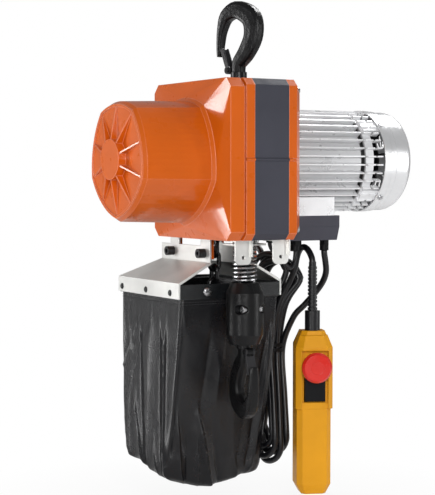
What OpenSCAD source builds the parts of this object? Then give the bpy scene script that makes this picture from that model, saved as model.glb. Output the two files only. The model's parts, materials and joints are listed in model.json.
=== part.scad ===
// Electric chain hoist with a hook at the top, a chain bag, a hook block on a
// single fall of chain, and a push-button pendant. Millimetres, +Z up.
// The origin is the seat of the top hook, where the hoist hangs.
// Inside the modules X runs along the motor shaft from the nose to the fan,
// -Y is the front, and place() moves the case frame to the hook seat.

/* [Case] */
// Height and depth of the square case
case_side = 210; // [204:1:216]
// Wall of the castings
case_wall = 6; // [5:0.5:7]
// Flat cut off each long corner of the case
case_chamfer = 8.5; // [7:0.5:11]
// Length of the dark middle housing
housing_len = 52; // [50:1:56]
// Thickness of the gear plate left of the housing
gear_plate_len = 13; // [12:0.5:15]
// Length of the square flange of the nose cover
nose_flange_len = 20.5; // [19.5:0.5:23]
// Width and depth of the groove between the nose cover and the gear plate
seam = 3; // [2:0.5:4]
// Length of the sloping part between the flange and the nose
flare_len = 9; // [8:0.5:11]
// Length of the nose
nose_len = 101; // [98:1:110]
// Corner radius of the five-sided nose where it starts
nose_r = 84; // [83:0.5:87]
// How far the corners of the nose draw in over its length
nose_draft = 3; // [1:0.5:5]
// Width of the collar round the foot of the nose
nose_collar = 4; // [3:0.5:5]
// Radius of the hub on the end of the nose
nose_hub_r = 26.5; // [22:0.5:30]
// How far the hub stands out of the end face
nose_hub_h = 11; // [8:0.5:14]
// Number of ribs on the end face
nose_ribs = 10; // [5:1:20]
// Thickness of the orange motor flange
motor_flange_len = 23; // [22:0.5:26]
// Bevel round the motor flange
motor_bevel = 10.5; // [8:0.5:12]
// Radius of the tie bolts that hold the castings together
tie_bolt_r = 3; // [2.5:0.25:4]

/* [Gears] */
// Teeth of both pinions
pinion_teeth = 12; // [12:1:12]
// Teeth of the large gear of the first stage
fast_teeth = 84; // [84:1:84]
// Teeth of the output gear on the chain wheel
slow_teeth = 68; // [68:1:68]
// Face width of the large gear of the first stage
fast_face = 7; // [5:0.5:7]
// Face width of the output gear
slow_face = 11; // [9:0.5:11]
// Play between meshing teeth
backlash = 0.25; // [0.2:0.05:0.4]

/* [Chain] */
// Diameter of the chain wire
wire_d = 6.3; // [6:0.1:6.5]
// Inside length of a link
link_pitch = 19; // [18.6:0.1:19.4]
// Outside width of a link
link_w = 21; // [20.4:0.2:21.6]
// Number of pockets in the chain wheel
pockets = 6; // [6:1:6]
// Number of links between the chain wheel and the hook block
load_links = 9; // [9:1:9]
// Number of links of the slack run
slack_links = 5; // [4:1:5]
// Distance of the slack run behind the shaft
slack_y = 46; // [45:0.5:48]

/* [Hooks] */
// Radius of the hook opening
hook_throat_r = 17.5; // [16.5:0.5:18.5]
// Thickness of the hook forging
hook_thick = 17; // [15:0.5:19]
// Radius of the hook shank
shank_r = 9; // [8:0.5:9.5]
// Height of the hook seat over the shaft axis
seat_z = 190; // [188:1:196]
// Distance of the hook seat in front of the shaft axis
seat_front = 20; // [18:0.5:22]
// Turn of the top hook about the vertical
top_hook_turn = -70; // [-90:5:-40]
// Turn of the bottom hook about the vertical
bottom_hook_turn = 82; // [60:1:130]
// Radius of the latch pins
latch_pin_r = 2; // [1.5:0.25:2.5]
// Radius of the hook block
block_r = 25.5; // [25:0.5:26]
// Height of the hook block
block_h = 83; // [82:0.5:88]
// Length of the buffer spring
spring_len = 49; // [46:0.5:49.5]
// Outer radius of the buffer spring
spring_r = 16.8; // [16.5:0.1:17.5]
// Wire diameter of the buffer spring
spring_wire = 3.2; // [2.8:0.1:3.4]

/* [Motor] */
// Number of cooling fins
fins = 38; // [24:1:44]
// Thickness of a cooling fin
fin_t = 2; // [1.5:0.25:3]
// Depth of the cooling fins
fin_depth = 10; // [7:0.5:11]
// Length of the finned motor frame
frame_len = 120; // [118:1:126]
// Radius of the rotor
rotor_r = 34; // [30:0.5:36]
// Air gap between rotor and stator
air_gap = 0.5; // [0.3:0.1:0.8]
// Radius of the motor shaft
motor_shaft_r = 7; // [6.5:0.25:7.5]
// Radius of the fan cover
cover_r = 71.3; // [70.5:0.1:74]
// Length of the fan cover
cover_len = 50; // [46:0.5:54]
// Sheet thickness of the fan cover
cover_t = 1.6; // [1:0.1:2.5]
// Length of the brake magnet
magnet_len = 42; // [36:1:44]

/* [Terminal box] */
// Length of the terminal box
jbox_len = 95; // [90:1:104]
// Depth of the terminal box
jbox_w = 100; // [90:1:110]
// Height of the base and of the lid
jbox_h = 34; // [32:0.5:38]
// Wall of the terminal box
jbox_wall = 3; // [2.5:0.25:4]

/* [Chain bag] */
// Outside length of the bag frame along the motor shaft
bag_x = 157; // [150:1:160]
// Outside depth of the bag frame
bag_y = 181; // [176:1:186]
// Height of the bag frame band
band_h = 20; // [18:1:22]
// Depth of the fabric bag below the band
bag_depth = 258; // [240:1:266]
// Thickness of the bracket sheets
sheet_t = 2.5; // [2:0.25:3]
// Radius of the bracket bolts
bracket_bolt_r = 3; // [2.5:0.25:3.5]
// Radius of the holes in the front tabs
tab_hole_r = 2.6; // [2:0.1:3.2]

/* [Pendant] */
// Width of the pendant
pendant_w = 52; // [48:1:56]
// Depth of the pendant
pendant_d = 36; // [34:1:42]
// Height of the pendant housing
pendant_h = 227; // [220:1:240]
// Turn of the pendant about the vertical
pendant_turn = -22; // [-30:1:-5]
// Radius of the red stop button
stop_r = 21; // [18:0.5:22]
// Radius of the ribbed boot over the pendant cable
boot_r = 6.7; // [6:0.1:7]

/* [Clearances] */
// Radial play of a shaft in its bearing
run_fit = 0.05; // [0.02:0.01:0.08]
// Gap between pieces that move past each other
gap = 0.3; // [0.25:0.05:0.4]

/* [Hidden] */
$fn = 48;
eps = 0.01;
half = case_side / 2;
wheel_x = housing_len / 2;
rest_z = -half;
// the gears fill the case, and the fins lie just inside the fan cover
fast_module = case_side / 168;
slow_module = case_side / 140;
fin_r = cover_r - 0.3;
// stations along the shaft
x_plate = -gear_plate_len;
x_spigot = x_plate - seam;
x_face = x_spigot - nose_flange_len;
x_collar = x_face - flare_len;
x_nose = x_collar - nose_len;
x_mflange = housing_len + motor_flange_len;
bevel = motor_bevel;
pilot_len = 7;
x_frame = x_mflange + 4;
x_frame_end = x_frame + frame_len;
x_cover = x_frame_end + 34;
x_cover_end = x_cover + cover_len;
// gear train
axle_dist = fast_module * (pinion_teeth + fast_teeth) / 2;
axle_y = axle_dist * sin(45);
axle_z = axle_dist * cos(45);
slow_dist = slow_module * (pinion_teeth + slow_teeth) / 2;
pressure_angle = 20;
slow_x = x_plate - 1.5 - slow_face;
fast_x = slow_x - 1 - fast_face;
big_bearing_r = 31;
big_bearing_w = 11;
hub_r = 20;
gear_seat_r = 17;
hub_bore_r = 8.5;
small_bearing_r = 13;
small_bearing_w = 8;
axle_r = 5;
motor_bearing_r = 17.5;
motor_bearing_w = 11;
motor_seat_r = motor_shaft_r + 0.5;
// cover plate behind the nose
cover_plate_x = x_face - 5.5;
cover_plate_t = 6;
cover_plate_r = nose_r - 11;
pillar_r = 6;
pillar_at = nose_r - 18;
// chain
joint_r = link_pitch / 2 / sin(90 / pockets);
wheel_link_r = joint_r * cos(90 / pockets);
load_y = -36;
wheel_r = 42.3;
top_link_z = -2 * link_pitch;
// hooks
seat = [wheel_x, -seat_front, seat_z];
collar_drop = 74;
hook_crown = 23;
block_top = rest_z - 59;
block_bottom = block_top - block_h;
low_seat = [wheel_x, load_y, block_bottom - 4.3 - collar_drop];
pivot_u = -15;
pivot_z = -69;
// underside
band_top = rest_z - 62;
bag_x0 = -59.5;
bag_y0 = -7;
plate_z = rest_z - 33;
plate_top = rest_z - 11;
bolt_z = rest_z - 21;
left_plate_x = x_plate + 1.5;
right_plate_x = housing_len + 4;
ear_ys = [[-7, 18], [half - 25, half]];
lug_ys = [8, half - 8];
tab_y = 25 - half;
// terminal box
jbox_x = x_mflange + 0.5;
jbox_top = -fin_r - 4.5;
gland_h = 15;
gland_y = -28;
limit_gland_x = 112;
control_gland = [128, -8];
power_gland_x = 160;
// pendant
pend = [140.4, -28.5, -235];
collar_h = 27;
boot_h = 68;
stop_z = -49;
rocker_z = -81;

// ---------------------------------------------------------------- helpers
module place() { translate(-seat) children(); }
module box(lo, hi) { translate(lo) cube(hi - lo); }
module xcyl(x0, x1, r, r2 = undef, y = 0, z = 0) {
    translate([x0, y, z]) rotate([0, 90, 0])
        cylinder(h = x1 - x0, r1 = r, r2 = is_undef(r2) ? r : r2);
}
module zcyl(z0, z1, r, x = 0, y = 0) { translate([x, y, z0]) cylinder(h = z1 - z0, r = r); }
module ycyl(y0, y1, r, x = 0, z = 0) {
    translate([x, y0, z]) rotate([-90, 0, 0]) cylinder(h = y1 - y0, r = r);
}
module xtube(x0, x1, r, bore, y = 0, z = 0) {
    difference() {
        xcyl(x0, x1, r, y = y, z = z);
        xcyl(x0 - 1, x1 + 1, bore, y = y, z = z);
    }
}
// a 2D shape in Y and Z, drawn out along X
module along_x(x0, x1) { translate([x0, 0, 0]) rotate([90, 0, 90]) linear_extrude(x1 - x0) children(); }

// square with cut corners, as points
function cut_square(h, c) = [[h - c, h], [-(h - c), h], [-h, h - c], [-h, -(h - c)],
    [-(h - c), -h], [h - c, -h], [h, -(h - c)], [h, h - c]];
module case_slab(x0, x1, inset = 0, c = case_chamfer) {
    along_x(x0, x1) polygon(cut_square(half - inset, c));
}
// a closed skin through rings of points, all with as many points
module loft(rings) {
    n = len(rings[0]);
    m = len(rings);
    // rings may run either way round: the skin is turned to face outwards
    quarter = cross(rings[0][0] - rings[0][floor(n / 2)], rings[0][floor(n / 4)] - rings[0][0]);
    way = quarter * (rings[1][0] - rings[0][0]) > 0 ? 1 : -1;
    polyhedron(points = [for (r = rings) for (k = [0:n - 1]) r[way > 0 ? k : n - 1 - k]],
        faces = concat([[for (i = [0:n - 1]) i]], [[for (i = [n - 1:-1:0]) (m - 1) * n + i]],
            [for (j = [0:m - 2]) for (i = [0:n - 1])
                [j * n + i, (j + 1) * n + i, (j + 1) * n + (i + 1) % n]],
            [for (j = [0:m - 2]) for (i = [0:n - 1])
                [j * n + i, (j + 1) * n + (i + 1) % n, j * n + (i + 1) % n]]));
}
function unit(v) = v / norm(v);
// points of a smooth curve through pts, with k steps in each span
function smooth(pts, k) = [for (i = [0:len(pts) - 2]) for (j = [0:k - (i == len(pts) - 2 ? 0 : 1)])
    let (a = pts[max(i - 1, 0)], b = pts[i], c = pts[i + 1], d = pts[min(i + 2, len(pts) - 1)],
        t = j / k) 0.5 * (2 * b + (c - a) * t + (2 * a - 5 * b + 4 * c - d) * t * t
            + (3 * b - a - 3 * c + d) * t * t * t)];
function tangent(pts, i) = unit(pts[min(i + 1, len(pts) - 1)] - pts[max(i - 1, 0)]);
// side direction carried along a route without twist
function frames(pts, i = 0, side = [0, 0, 1]) = i == len(pts) ? [] :
    let (t = tangent(pts, i), s0 = side - (side * t) * t,
        s = norm(s0) < 0.01 ? unit(cross(t, [0.3, 1, 0.2])) : unit(s0))
    concat([[s, cross(t, s)]], frames(pts, i + 1, s));
// round tube along a route
module tube(pts, r, sides = 8, side = [0.1, 0.9, 0.3]) {
    f = frames(pts, 0, side);
    loft([for (i = [0:len(pts) - 1]) [for (k = [0:sides - 1])
        pts[i] + r * (cos(k * 360 / sides) * f[i][0] + sin(k * 360 / sides) * f[i][1])]]);
}

// ---------------------------------------------------------------- castings
// bulged five-sided outline with one corner straight down, angles from +Z to -Y
nose_step = 6;
// each side is an arc whose centre lies side_c beyond the middle, both as parts of the radius
side_c = 0.475;
side_r = 1.412;
function bulge(a) = let (t = (a + 36) % 72 - 36)
    sqrt(side_r * side_r - pow(side_c * sin(t), 2)) - side_c * cos(t);
function nose_ring(x, r) = [for (a = [0:nose_step:359.9])
    [x, -r * bulge(a) * sin(a), r * bulge(a) * cos(a)]];
module nose_solid(inset, x_end) {
    loft([nose_ring(x_collar + 6, nose_r - inset), nose_ring(x_collar - 6, nose_r - inset),
        nose_ring(x_end + 5, nose_r - nose_draft - inset),
        nose_ring(x_end, nose_r - nose_draft - 3.5 - inset)]);
}
module flare(inset) {
    hull() {
        case_slab(x_face + inset, x_face + inset + 0.5, inset, case_chamfer + 3);
        loft([nose_ring(x_collar + inset - 0.5, nose_r + nose_collar - inset),
            nose_ring(x_collar + inset, nose_r + nose_collar - inset)]);
    }
}
module tie_places() {
    for (y = [-1, 1], z = [-1, 1]) translate([0, y * (half - 14), z * (half - 14)]) children();
}
module nose_cover() {
    end_r = nose_r - nose_draft - 3.5;
    color("darkorange") place() {
        difference() {
            union() {
                case_slab(x_face + eps, x_spigot, 0, case_chamfer + 3);
                case_slab(x_spigot, x_plate, seam);
                flare(0);
                loft([nose_ring(x_collar + 1, nose_r + nose_collar),
                    nose_ring(x_collar - 1, nose_r + nose_collar),
                    nose_ring(x_collar - 5, nose_r)]);
                nose_solid(0, x_nose);
            }
            case_slab(x_face + case_wall - 2, x_plate + 1, case_wall + seam - 2);
            flare(case_wall - 2);
            nose_solid(case_wall - 1, x_nose + case_wall);
            tie_places() xcyl(x_face + 4, x_plate + 1, tie_bolt_r + eps);
        }
        difference() {
            tie_places() xcyl(x_face + 3, x_plate, 8);
            tie_places() xcyl(x_face + 4, x_plate + 1, tie_bolt_r + eps);
        }
        xcyl(x_nose - nose_hub_h, x_nose + 1, nose_hub_r);
        for (i = [0:nose_ribs - 1]) rotate([i * 360 / nose_ribs, 0, 0])
            translate([0, 1, 0]) rotate([90, 0, 0]) linear_extrude(2)
                polygon([[x_nose + 1, nose_hub_r - 2], [x_nose - nose_hub_h + 1.5, nose_hub_r - 2],
                    [x_nose - 0.8, end_r * 0.925], [x_nose + 1, end_r * 0.925]]);
        // raised edge round the end face
        difference() {
            loft([nose_ring(x_nose + 2, end_r), nose_ring(x_nose - 1.6, end_r - 0.6)]);
            loft([nose_ring(x_nose + 3, end_r - 4), nose_ring(x_nose - 3, end_r - 4)]);
        }
    }
}
module mid_groove(x0, x1) {
    for (s = [-1, 1]) box([x0, s > 0 ? half - 1.2 : -half - 1, -1.7],
        [x1, s > 0 ? half + 1 : -half + 1.2, 1.7]);
}
module gear_plate() {
    color("darkorange") place() difference() {
        union() {
            case_slab(x_plate, 0);
            for (y = lug_ys) box([left_plate_x + sheet_t, y - 8, bolt_z - 8], [-1, y + 8, rest_z + 4]);
        }
        xcyl(x_plate - 1, 1, hub_r + 4);
        xcyl(-big_bearing_w, 1, big_bearing_r);
        xcyl(x_plate - 1, x_plate + small_bearing_w, small_bearing_r, y = axle_y, z = axle_z);
        tie_places() xcyl(x_plate - 1, 1, tie_bolt_r + gap);
        for (y = lug_ys) xcyl(left_plate_x, 0, bracket_bolt_r, y = y, z = bolt_z);
        mid_groove(x_plate - 1, 1);
    }
}
module gear_housing() {
    inner = case_wall;
    color("dimgray") place() difference() {
        union() {
            difference() {
                case_slab(0, housing_len);
                case_slab(-1, housing_len + 1, inner, case_chamfer - 2);
            }
            intersection() {
                case_slab(0, housing_len);
                tie_places() xcyl(0, housing_len, 9);
            }
            zcyl(half - 30, half - 1, 22, wheel_x, -seat_front);
        }
        zcyl(half - 40, half + 1, shank_r + run_fit, wheel_x, -seat_front);
        tie_places() xcyl(-1, housing_len + 1, tie_bolt_r + gap);
        for (y = [load_y, slack_y]) box([wheel_x - 12.5, y - 12.5, rest_z - 1],
            [wheel_x + 12.5, y + 12.5, rest_z + inner + 1]);
        for (s = [-1, 1]) zcyl(rest_z - 1, rest_z + inner + 1, 3.5 + run_fit, wheel_x + s * 18, load_y);
        mid_groove(-1, housing_len + 1);
    }
}
module motor_flange() {
    color("darkorange") place() difference() {
        union() {
            case_slab(housing_len, x_mflange - bevel);
            loft([for (s = [0, 1]) [for (p = cut_square(half - s * bevel, case_chamfer))
                [x_mflange - (1 - s) * bevel - (1 - s) * eps, p[0], p[1]]]]);
            xcyl(x_mflange - 1, x_mflange + pilot_len, fin_r - 3, fin_r - 6);
            for (y = lug_ys) box([right_plate_x + sheet_t, y - 8, bolt_z - 8],
                [right_plate_x + sheet_t + 8, y + 8, rest_z + 4]);
        }
        xcyl(housing_len - 1, housing_len + big_bearing_w, big_bearing_r);
        xcyl(housing_len, x_mflange + 20, motor_seat_r + 2);
        xcyl(x_mflange - 9, x_mflange + pilot_len + 1, motor_bearing_r);
        xcyl(x_mflange + 4, x_mflange + pilot_len + 1, fin_r - fin_depth);
        tie_places() xcyl(housing_len - 1, x_mflange + 1, tie_bolt_r + gap);
        tie_places() xcyl(x_mflange - 6, x_mflange + 1, 5.6);
        for (y = lug_ys) xcyl(right_plate_x, right_plate_x + 20, bracket_bolt_r, y = y, z = bolt_z);
        mid_groove(housing_len - 1, x_mflange - bevel);
    }
}
module tie_bolts() {
    color("silver") place() tie_places() {
        xcyl(x_face + 5, x_mflange - 6, tie_bolt_r);
        difference() {
            xcyl(x_mflange - 6, x_mflange, 5);
            xcyl(x_mflange - 3, x_mflange + 1, 2.9, $fn = 6);
        }
    }
}
function pillar_angles() = [135, 225, 315];
module pillars() {
    for (a = pillar_angles()) translate([0, pillar_at * cos(a), pillar_at * sin(a)]) children();
}
module gear_cover() {
    color("silver") place() difference() {
        union() {
            xcyl(cover_plate_x, cover_plate_x + cover_plate_t, cover_plate_r);
            xcyl(cover_plate_x - 4, cover_plate_x + cover_plate_t, small_bearing_r + 5);
            xcyl(cover_plate_x - 4, cover_plate_x + cover_plate_t, small_bearing_r + 2.5,
                y = axle_y, z = axle_z);
            pillars() xcyl(cover_plate_x, x_plate, pillar_r);
        }
        xcyl(cover_plate_x - 5, cover_plate_x + 9, axle_r + 2);
        xcyl(cover_plate_x + cover_plate_t - small_bearing_w, cover_plate_x + 9, small_bearing_r);
        xcyl(cover_plate_x + cover_plate_t - small_bearing_w, cover_plate_x + 9, small_bearing_r,
            y = axle_y, z = axle_z);
        pillars() xcyl(cover_plate_x - 1, x_plate - 4, 2.5);
    }
}
module cover_screws() {
    color("silver") place() {
        pillars() {
            xcyl(cover_plate_x, x_plate - 4, 2.5);
            xcyl(cover_plate_x - 5, cover_plate_x, 4.25);
        }
        for (a = ear_angles()) rotate([a, 0, 0]) {
            zcyl(fin_r - fin_depth + 1, cover_r + 0.6, 2, x_cover + 6, 0);
            difference() {
                zcyl(cover_r + 0.6, cover_r + 2.2, 4, x_cover + 6, 0);
                box([x_cover + 1, -0.6, cover_r + 1.4], [x_cover + 11, 0.6, cover_r + 3]);
            }
        }
    }
}

// ---------------------------------------------------------------- gears and shafts
function involute(rb, t) = [rb * (cos(t) + t * PI / 180 * sin(t)), rb * (sin(t) - t * PI / 180 * cos(t))];
function polar(r, a) = [r * cos(a), r * sin(a)];
// roll angle at which an involute reaches radius r
function roll(rb, r) = r <= rb ? 0 : sqrt(pow(r / rb, 2) - 1) * 180 / PI;
function flank_angle(rb, r) = let (p = involute(rb, roll(rb, r))) atan2(p[1], p[0]);
// outline of a gear with one tooth centred on the first axis
function gear_points(m, n, steps) =
    let (rp = m * n / 2, rb = rp * cos(pressure_angle), ra = rp + m, rd = rp - 1.25 * m,
        half_tooth = 90 / n - backlash / 2 / rp * 180 / PI / 2,
        start = half_tooth + flank_angle(rb, rp), low = max(rb, rd))
    [for (i = [0:n - 1]) let (c = i * 360 / n) each concat(
        [polar(rd, c - min(start, 175 / n))],
        [for (k = [0:steps]) let (r = low + (ra - low) * k / steps) polar(r, c - start + flank_angle(rb, r))],
        [for (k = [steps:-1:0]) let (r = low + (ra - low) * k / steps) polar(r, c + start - flank_angle(rb, r))],
        [polar(rd, c + min(start, 175 / n))])];
module gear(x0, x1, m, n, steps, turn) {
    along_x(x0, x1) rotate(turn) polygon(gear_points(m, n, steps));
}
// angle in the Y-Z plane of the line from the shaft to the layshaft
mesh_angle = 45;
module at_axle() { translate([0, axle_y, axle_z]) children(); }
module output_gear() {
    color("gray") place() difference() {
        gear(slow_x, slow_x + slow_face, slow_module, slow_teeth, 2, mesh_angle + 180 / slow_teeth);
        xcyl(slow_x - 1, slow_x + slow_face + 1, gear_seat_r);
        for (a = [0:60:300]) rotate([a, 0, 0]) xcyl(slow_x - 1, slow_x + slow_face + 1, 8, z = 32);
    }
}
module layshaft() {
    color("gray") place() at_axle() {
        xcyl(cover_plate_x + cover_plate_t - small_bearing_w, x_plate + small_bearing_w, axle_r);
        gear(slow_x, slow_x + slow_face, slow_module, pinion_teeth, 4, mesh_angle + 180);
    }
}
module layshaft_gear() {
    color("silver") place() at_axle() difference() {
        gear(fast_x, fast_x + fast_face, fast_module, fast_teeth, 2, mesh_angle + 180 + 180 / fast_teeth);
        xcyl(fast_x - 1, fast_x + fast_face + 1, axle_r);
        for (a = [0:60:300]) rotate([a, 0, 0]) xcyl(fast_x - 1, fast_x + fast_face + 1, 9, z = 31);
    }
}
module bearing(x0, w, r_out, r_in, y = 0, z = 0) {
    race = (r_out - r_in) * 0.28;
    xtube(x0, x0 + w, r_out, r_out - race, y, z);
    xtube(x0, x0 + w, r_in + race, r_in + run_fit, y, z);
    balls = floor(PI * (r_out + r_in) / (r_out - r_in) / 0.75);
    translate([x0 + w / 2, y, z]) for (i = [0:balls - 1]) rotate([i * 360 / balls, 0, 0])
        translate([0, 0, (r_out + r_in) / 2]) sphere(r = (r_out - r_in) / 2 - race + 0.2, $fn = 20);
}
module ball_bearings() {
    color("silver") place() {
        bearing(-big_bearing_w, big_bearing_w, big_bearing_r, hub_r);
        bearing(housing_len, big_bearing_w, big_bearing_r, hub_r);
        bearing(x_plate, small_bearing_w, small_bearing_r, axle_r, axle_y, axle_z);
        bearing(cover_plate_x + cover_plate_t - small_bearing_w, small_bearing_w, small_bearing_r,
            axle_r, axle_y, axle_z);
        bearing(cover_plate_x + cover_plate_t - small_bearing_w, small_bearing_w, small_bearing_r, axle_r);
        bearing(x_mflange - 9, motor_bearing_w, motor_bearing_r, motor_seat_r);
        bearing(x_frame_end + 5, motor_bearing_w, motor_bearing_r, motor_seat_r);
    }
}
module motor_shaft() {
    color("lightgray") place() {
        xcyl(cover_plate_x - magnet_len - 22, fast_x, axle_r);
        gear(fast_x - 1, slow_x - 0.5, fast_module, pinion_teeth, 4, mesh_angle);
        xcyl(slow_x - 0.5, x_mflange - 9.5, motor_shaft_r);
        xcyl(x_mflange - 9.5, x_frame + 14, motor_seat_r);
        xcyl(x_frame + 14, x_frame_end - 8, motor_seat_r + 3);
        xcyl(x_frame_end - 8, x_frame_end + 17, motor_seat_r);
        xcyl(x_frame_end + 17, x_cover + 24, motor_seat_r - 1.5);
    }
}
module rotor_core() {
    color("dimgray") place() {
        xtube(x_frame + 20, x_frame_end - 16, rotor_r, motor_seat_r + 3);
        for (x = [x_frame + 15, x_frame_end - 16]) xtube(x, x + 5, rotor_r - 2, rotor_r - 9);
    }
}
module stator_core() {
    color("firebrick") place() {
        xtube(x_frame + 20, x_frame_end - 16, fin_r - fin_depth - 4 - eps, rotor_r + air_gap);
        for (x = [x_frame + 11, x_frame_end - 16]) xtube(x, x + 9, fin_r - fin_depth - 8, rotor_r + 3);
    }
}
module fin_ring(r_in, r_out = fin_r) {
    for (i = [0:fins - 1]) rotate(i * 360 / fins + 90) translate([r_in, -fin_t / 2]) square([r_out - r_in, fin_t]);
}
module motor_frame() {
    root = fin_r - fin_depth;
    color("gainsboro") place() {
        difference() {
            union() {
                along_x(x_mflange + pilot_len, x_frame_end) {
                    circle(r = root);
                    fin_ring(root - 1);
                }
                xcyl(x_mflange + 4, x_mflange + pilot_len, root);
                box([x_mflange + pilot_len, -jbox_w / 2, jbox_top],
                    [x_mflange + jbox_len - 8, jbox_w / 2, -50]);
            }
            xcyl(x_mflange, x_frame_end + 1, root - 4);
            box([x_mflange + 20, -18, jbox_top - 1], [x_mflange + 60, 18, -40]);
        }
    }
}
function ear_angles() = [45, 135, 225, 315];
ear_w = 18;
ear_top = sqrt(pow(cover_r - cover_t - gap, 2) - ear_w * ear_w / 4);
module end_shield() {
    root = fin_r - fin_depth;
    color("gainsboro") place() difference() {
        union() {
            xcyl(x_frame_end, x_frame_end + 5, root - 2);
            xcyl(x_frame_end + 5, x_frame_end + 18, root + 5);
            xcyl(x_frame_end + 4, x_frame_end + 17, motor_bearing_r + 5);
            along_x(x_frame_end + 5, x_frame_end + 18) fin_ring(root + 2);
            along_x(x_frame_end + 15, x_cover - 3) fin_ring(root + 2, root + 4);
            along_x(x_cover - 12, x_cover - 3) fin_ring(root + 2);
            for (a = ear_angles()) rotate([a, 0, 0])
                box([x_frame_end + 8, -ear_w / 2, root], [x_cover + 12, ear_w / 2, ear_top]);
        }
        xcyl(x_frame_end + 5, x_frame_end + 20, motor_bearing_r);
        xcyl(x_frame_end - 1, x_frame_end + 20, motor_seat_r + 3);
        xcyl(x_frame_end - 1, x_frame_end + 4, root - 8);
        for (a = ear_angles()) rotate([a, 0, 0]) zcyl(root - 1, cover_r, 2, x_cover + 6, 0);
        xcyl(x_frame_end + 18, x_cover + 30, root);
    }
}
module fan() {
    x0 = x_cover + 4;
    color("black") place() difference() {
        union() {
            xcyl(x0, x0 + 16, 12);
            xcyl(x0 + 6, x0 + 8, 40);
            for (i = [0:8]) rotate([i * 40, 0, 0]) box([x0 + 1, -1, 10], [x0 + 15, 1, 57]);
        }
        xcyl(x0 - 1, x0 + 20, motor_seat_r - 1.5);
    }
}
// profile of the fan cover: distance from the front edge and radius
round_r = 11;
step_at = 20;
function cover_outline(r, t) = let (q = r - 1.2) concat([[0, r - t], [0, r], [step_at, r], [step_at + 1.5, q]],
    [for (a = [90:-15:0]) [cover_len - round_r + round_r * cos(a), q - round_r + round_r * sin(a)]],
    [[cover_len, 0], [cover_len - t, 0]],
    [for (a = [0:15:90]) [cover_len - round_r + (round_r - t) * cos(a), q - round_r + (round_r - t) * sin(a)]],
    [[step_at + 1, q - t], [step_at - 0.5, r - t]]);
module fan_cover() {
    color("gainsboro") place() difference() {
        union() {
            translate([x_cover, 0, 0]) rotate([0, 90, 0]) rotate_extrude()
                polygon([for (p = cover_outline(cover_r, cover_t)) [p[1], p[0]]]);
            xtube(x_cover, x_cover + 12, cover_r + 0.6, cover_r - 0.5);
        }
        for (i = [0:23]) rotate([i * 15, 0, 0]) box([x_cover_end - 4, -1.7, 20], [x_cover_end + 1, 1.7, 54]);
        for (a = ear_angles()) rotate([a, 0, 0]) zcyl(cover_r - 5, cover_r + 2, 2.3, x_cover + 6, 0);
    }
}
module brake_magnet() {
    x1 = cover_plate_x - 5;
    color("dimgray") place() difference() {
        union() {
            xcyl(x1 - magnet_len, x1, 48);
            for (a = [90, 210, 330]) translate([0, 40 * cos(a), 40 * sin(a)])
                xcyl(x1 - magnet_len - 18, x1 + 5, 3);
        }
        xcyl(x1 - magnet_len - 1, x1 + 1, axle_r + 4);
        xtube(x1 - magnet_len - 1, x1 - 12, 34, 20);
        xcyl(x1 - 1, x1 + 1, small_bearing_r + 6);
    }
}
module brake_armature() {
    x1 = cover_plate_x - 5 - magnet_len - gap;
    color("silver") place() {
        difference() {
            xcyl(x1 - 5, x1, 47);
            xcyl(x1 - 6, x1 + 1, axle_r + 5);
            for (a = [90, 210, 330]) xcyl(x1 - 6, x1 + 1, 3.3, y = 40 * cos(a), z = 40 * sin(a));
        }
        difference() {
            xcyl(x1 - 18, x1 - 13, 47);
            xcyl(x1 - 19, x1 + 1, axle_r + 5);
            for (a = [90, 210, 330]) xcyl(x1 - 19, x1 + 1, 3, y = 40 * cos(a), z = 40 * sin(a));
        }
    }
}
module brake_disc() {
    x1 = cover_plate_x - 5 - magnet_len - gap - 5 - gap;
    color("saddlebrown") place() {
        xtube(x1 - 7.4, x1, 36, 9);
        xtube(x1 - 9, x1 + 1, 9, axle_r);
    }
}

// ---------------------------------------------------------------- chain
link_turn_r = (link_w - wire_d) / 2;
link_straight = link_pitch + wire_d - 2 * link_turn_r;
// one link standing along Z in the Y-Z plane
module link() {
    r = wire_d / 2 - 0.04;
    for (s = [-1, 1]) {
        zcyl(-link_straight / 2, link_straight / 2, r, 0, s * link_turn_r, $fn = 24);
        translate([0, 0, s * link_straight / 2]) rotate([90, 0, 90]) rotate([0, 0, s > 0 ? 0 : 180])
            rotate_extrude(angle = 180, $fn = 24) translate([link_turn_r, 0]) circle(r = r, $fn = 24);
    }
}
module run(x, y, z_top, n, flat_first = false) {
    for (i = [0:n - 1]) translate([x, y, z_top - i * link_pitch])
        rotate([0, 0, (i % 2 == 1) != flat_first ? 90 : 0]) link();
}
module load_wheel() {
    color("gray") place() difference() {
        union() {
            xcyl(slow_x, -big_bearing_w + eps, gear_seat_r);
            xcyl(-big_bearing_w, eps, hub_r);
            xcyl(0.5, wheel_x - 16, hub_r + 3);
            xcyl(-eps, 0.6, hub_r);
            xcyl(wheel_x - 16, wheel_x + 16, wheel_r);
            xcyl(wheel_x + 16, housing_len - 0.5, hub_r + 3);
            xcyl(housing_len - 0.6, housing_len + big_bearing_w, hub_r);
        }
        xcyl(slow_x - 2, housing_len + 20, hub_bore_r);
        xtube(wheel_x - wire_d / 2 - 1.2, wheel_x + wire_d / 2 + 1.2, wheel_r + 5, wheel_link_r - link_w / 2 - 0.8);
        for (i = [0:pockets - 1]) rotate([-(30 + i * 360 / pockets), 0, 0]) pocket();
    }
}
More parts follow.
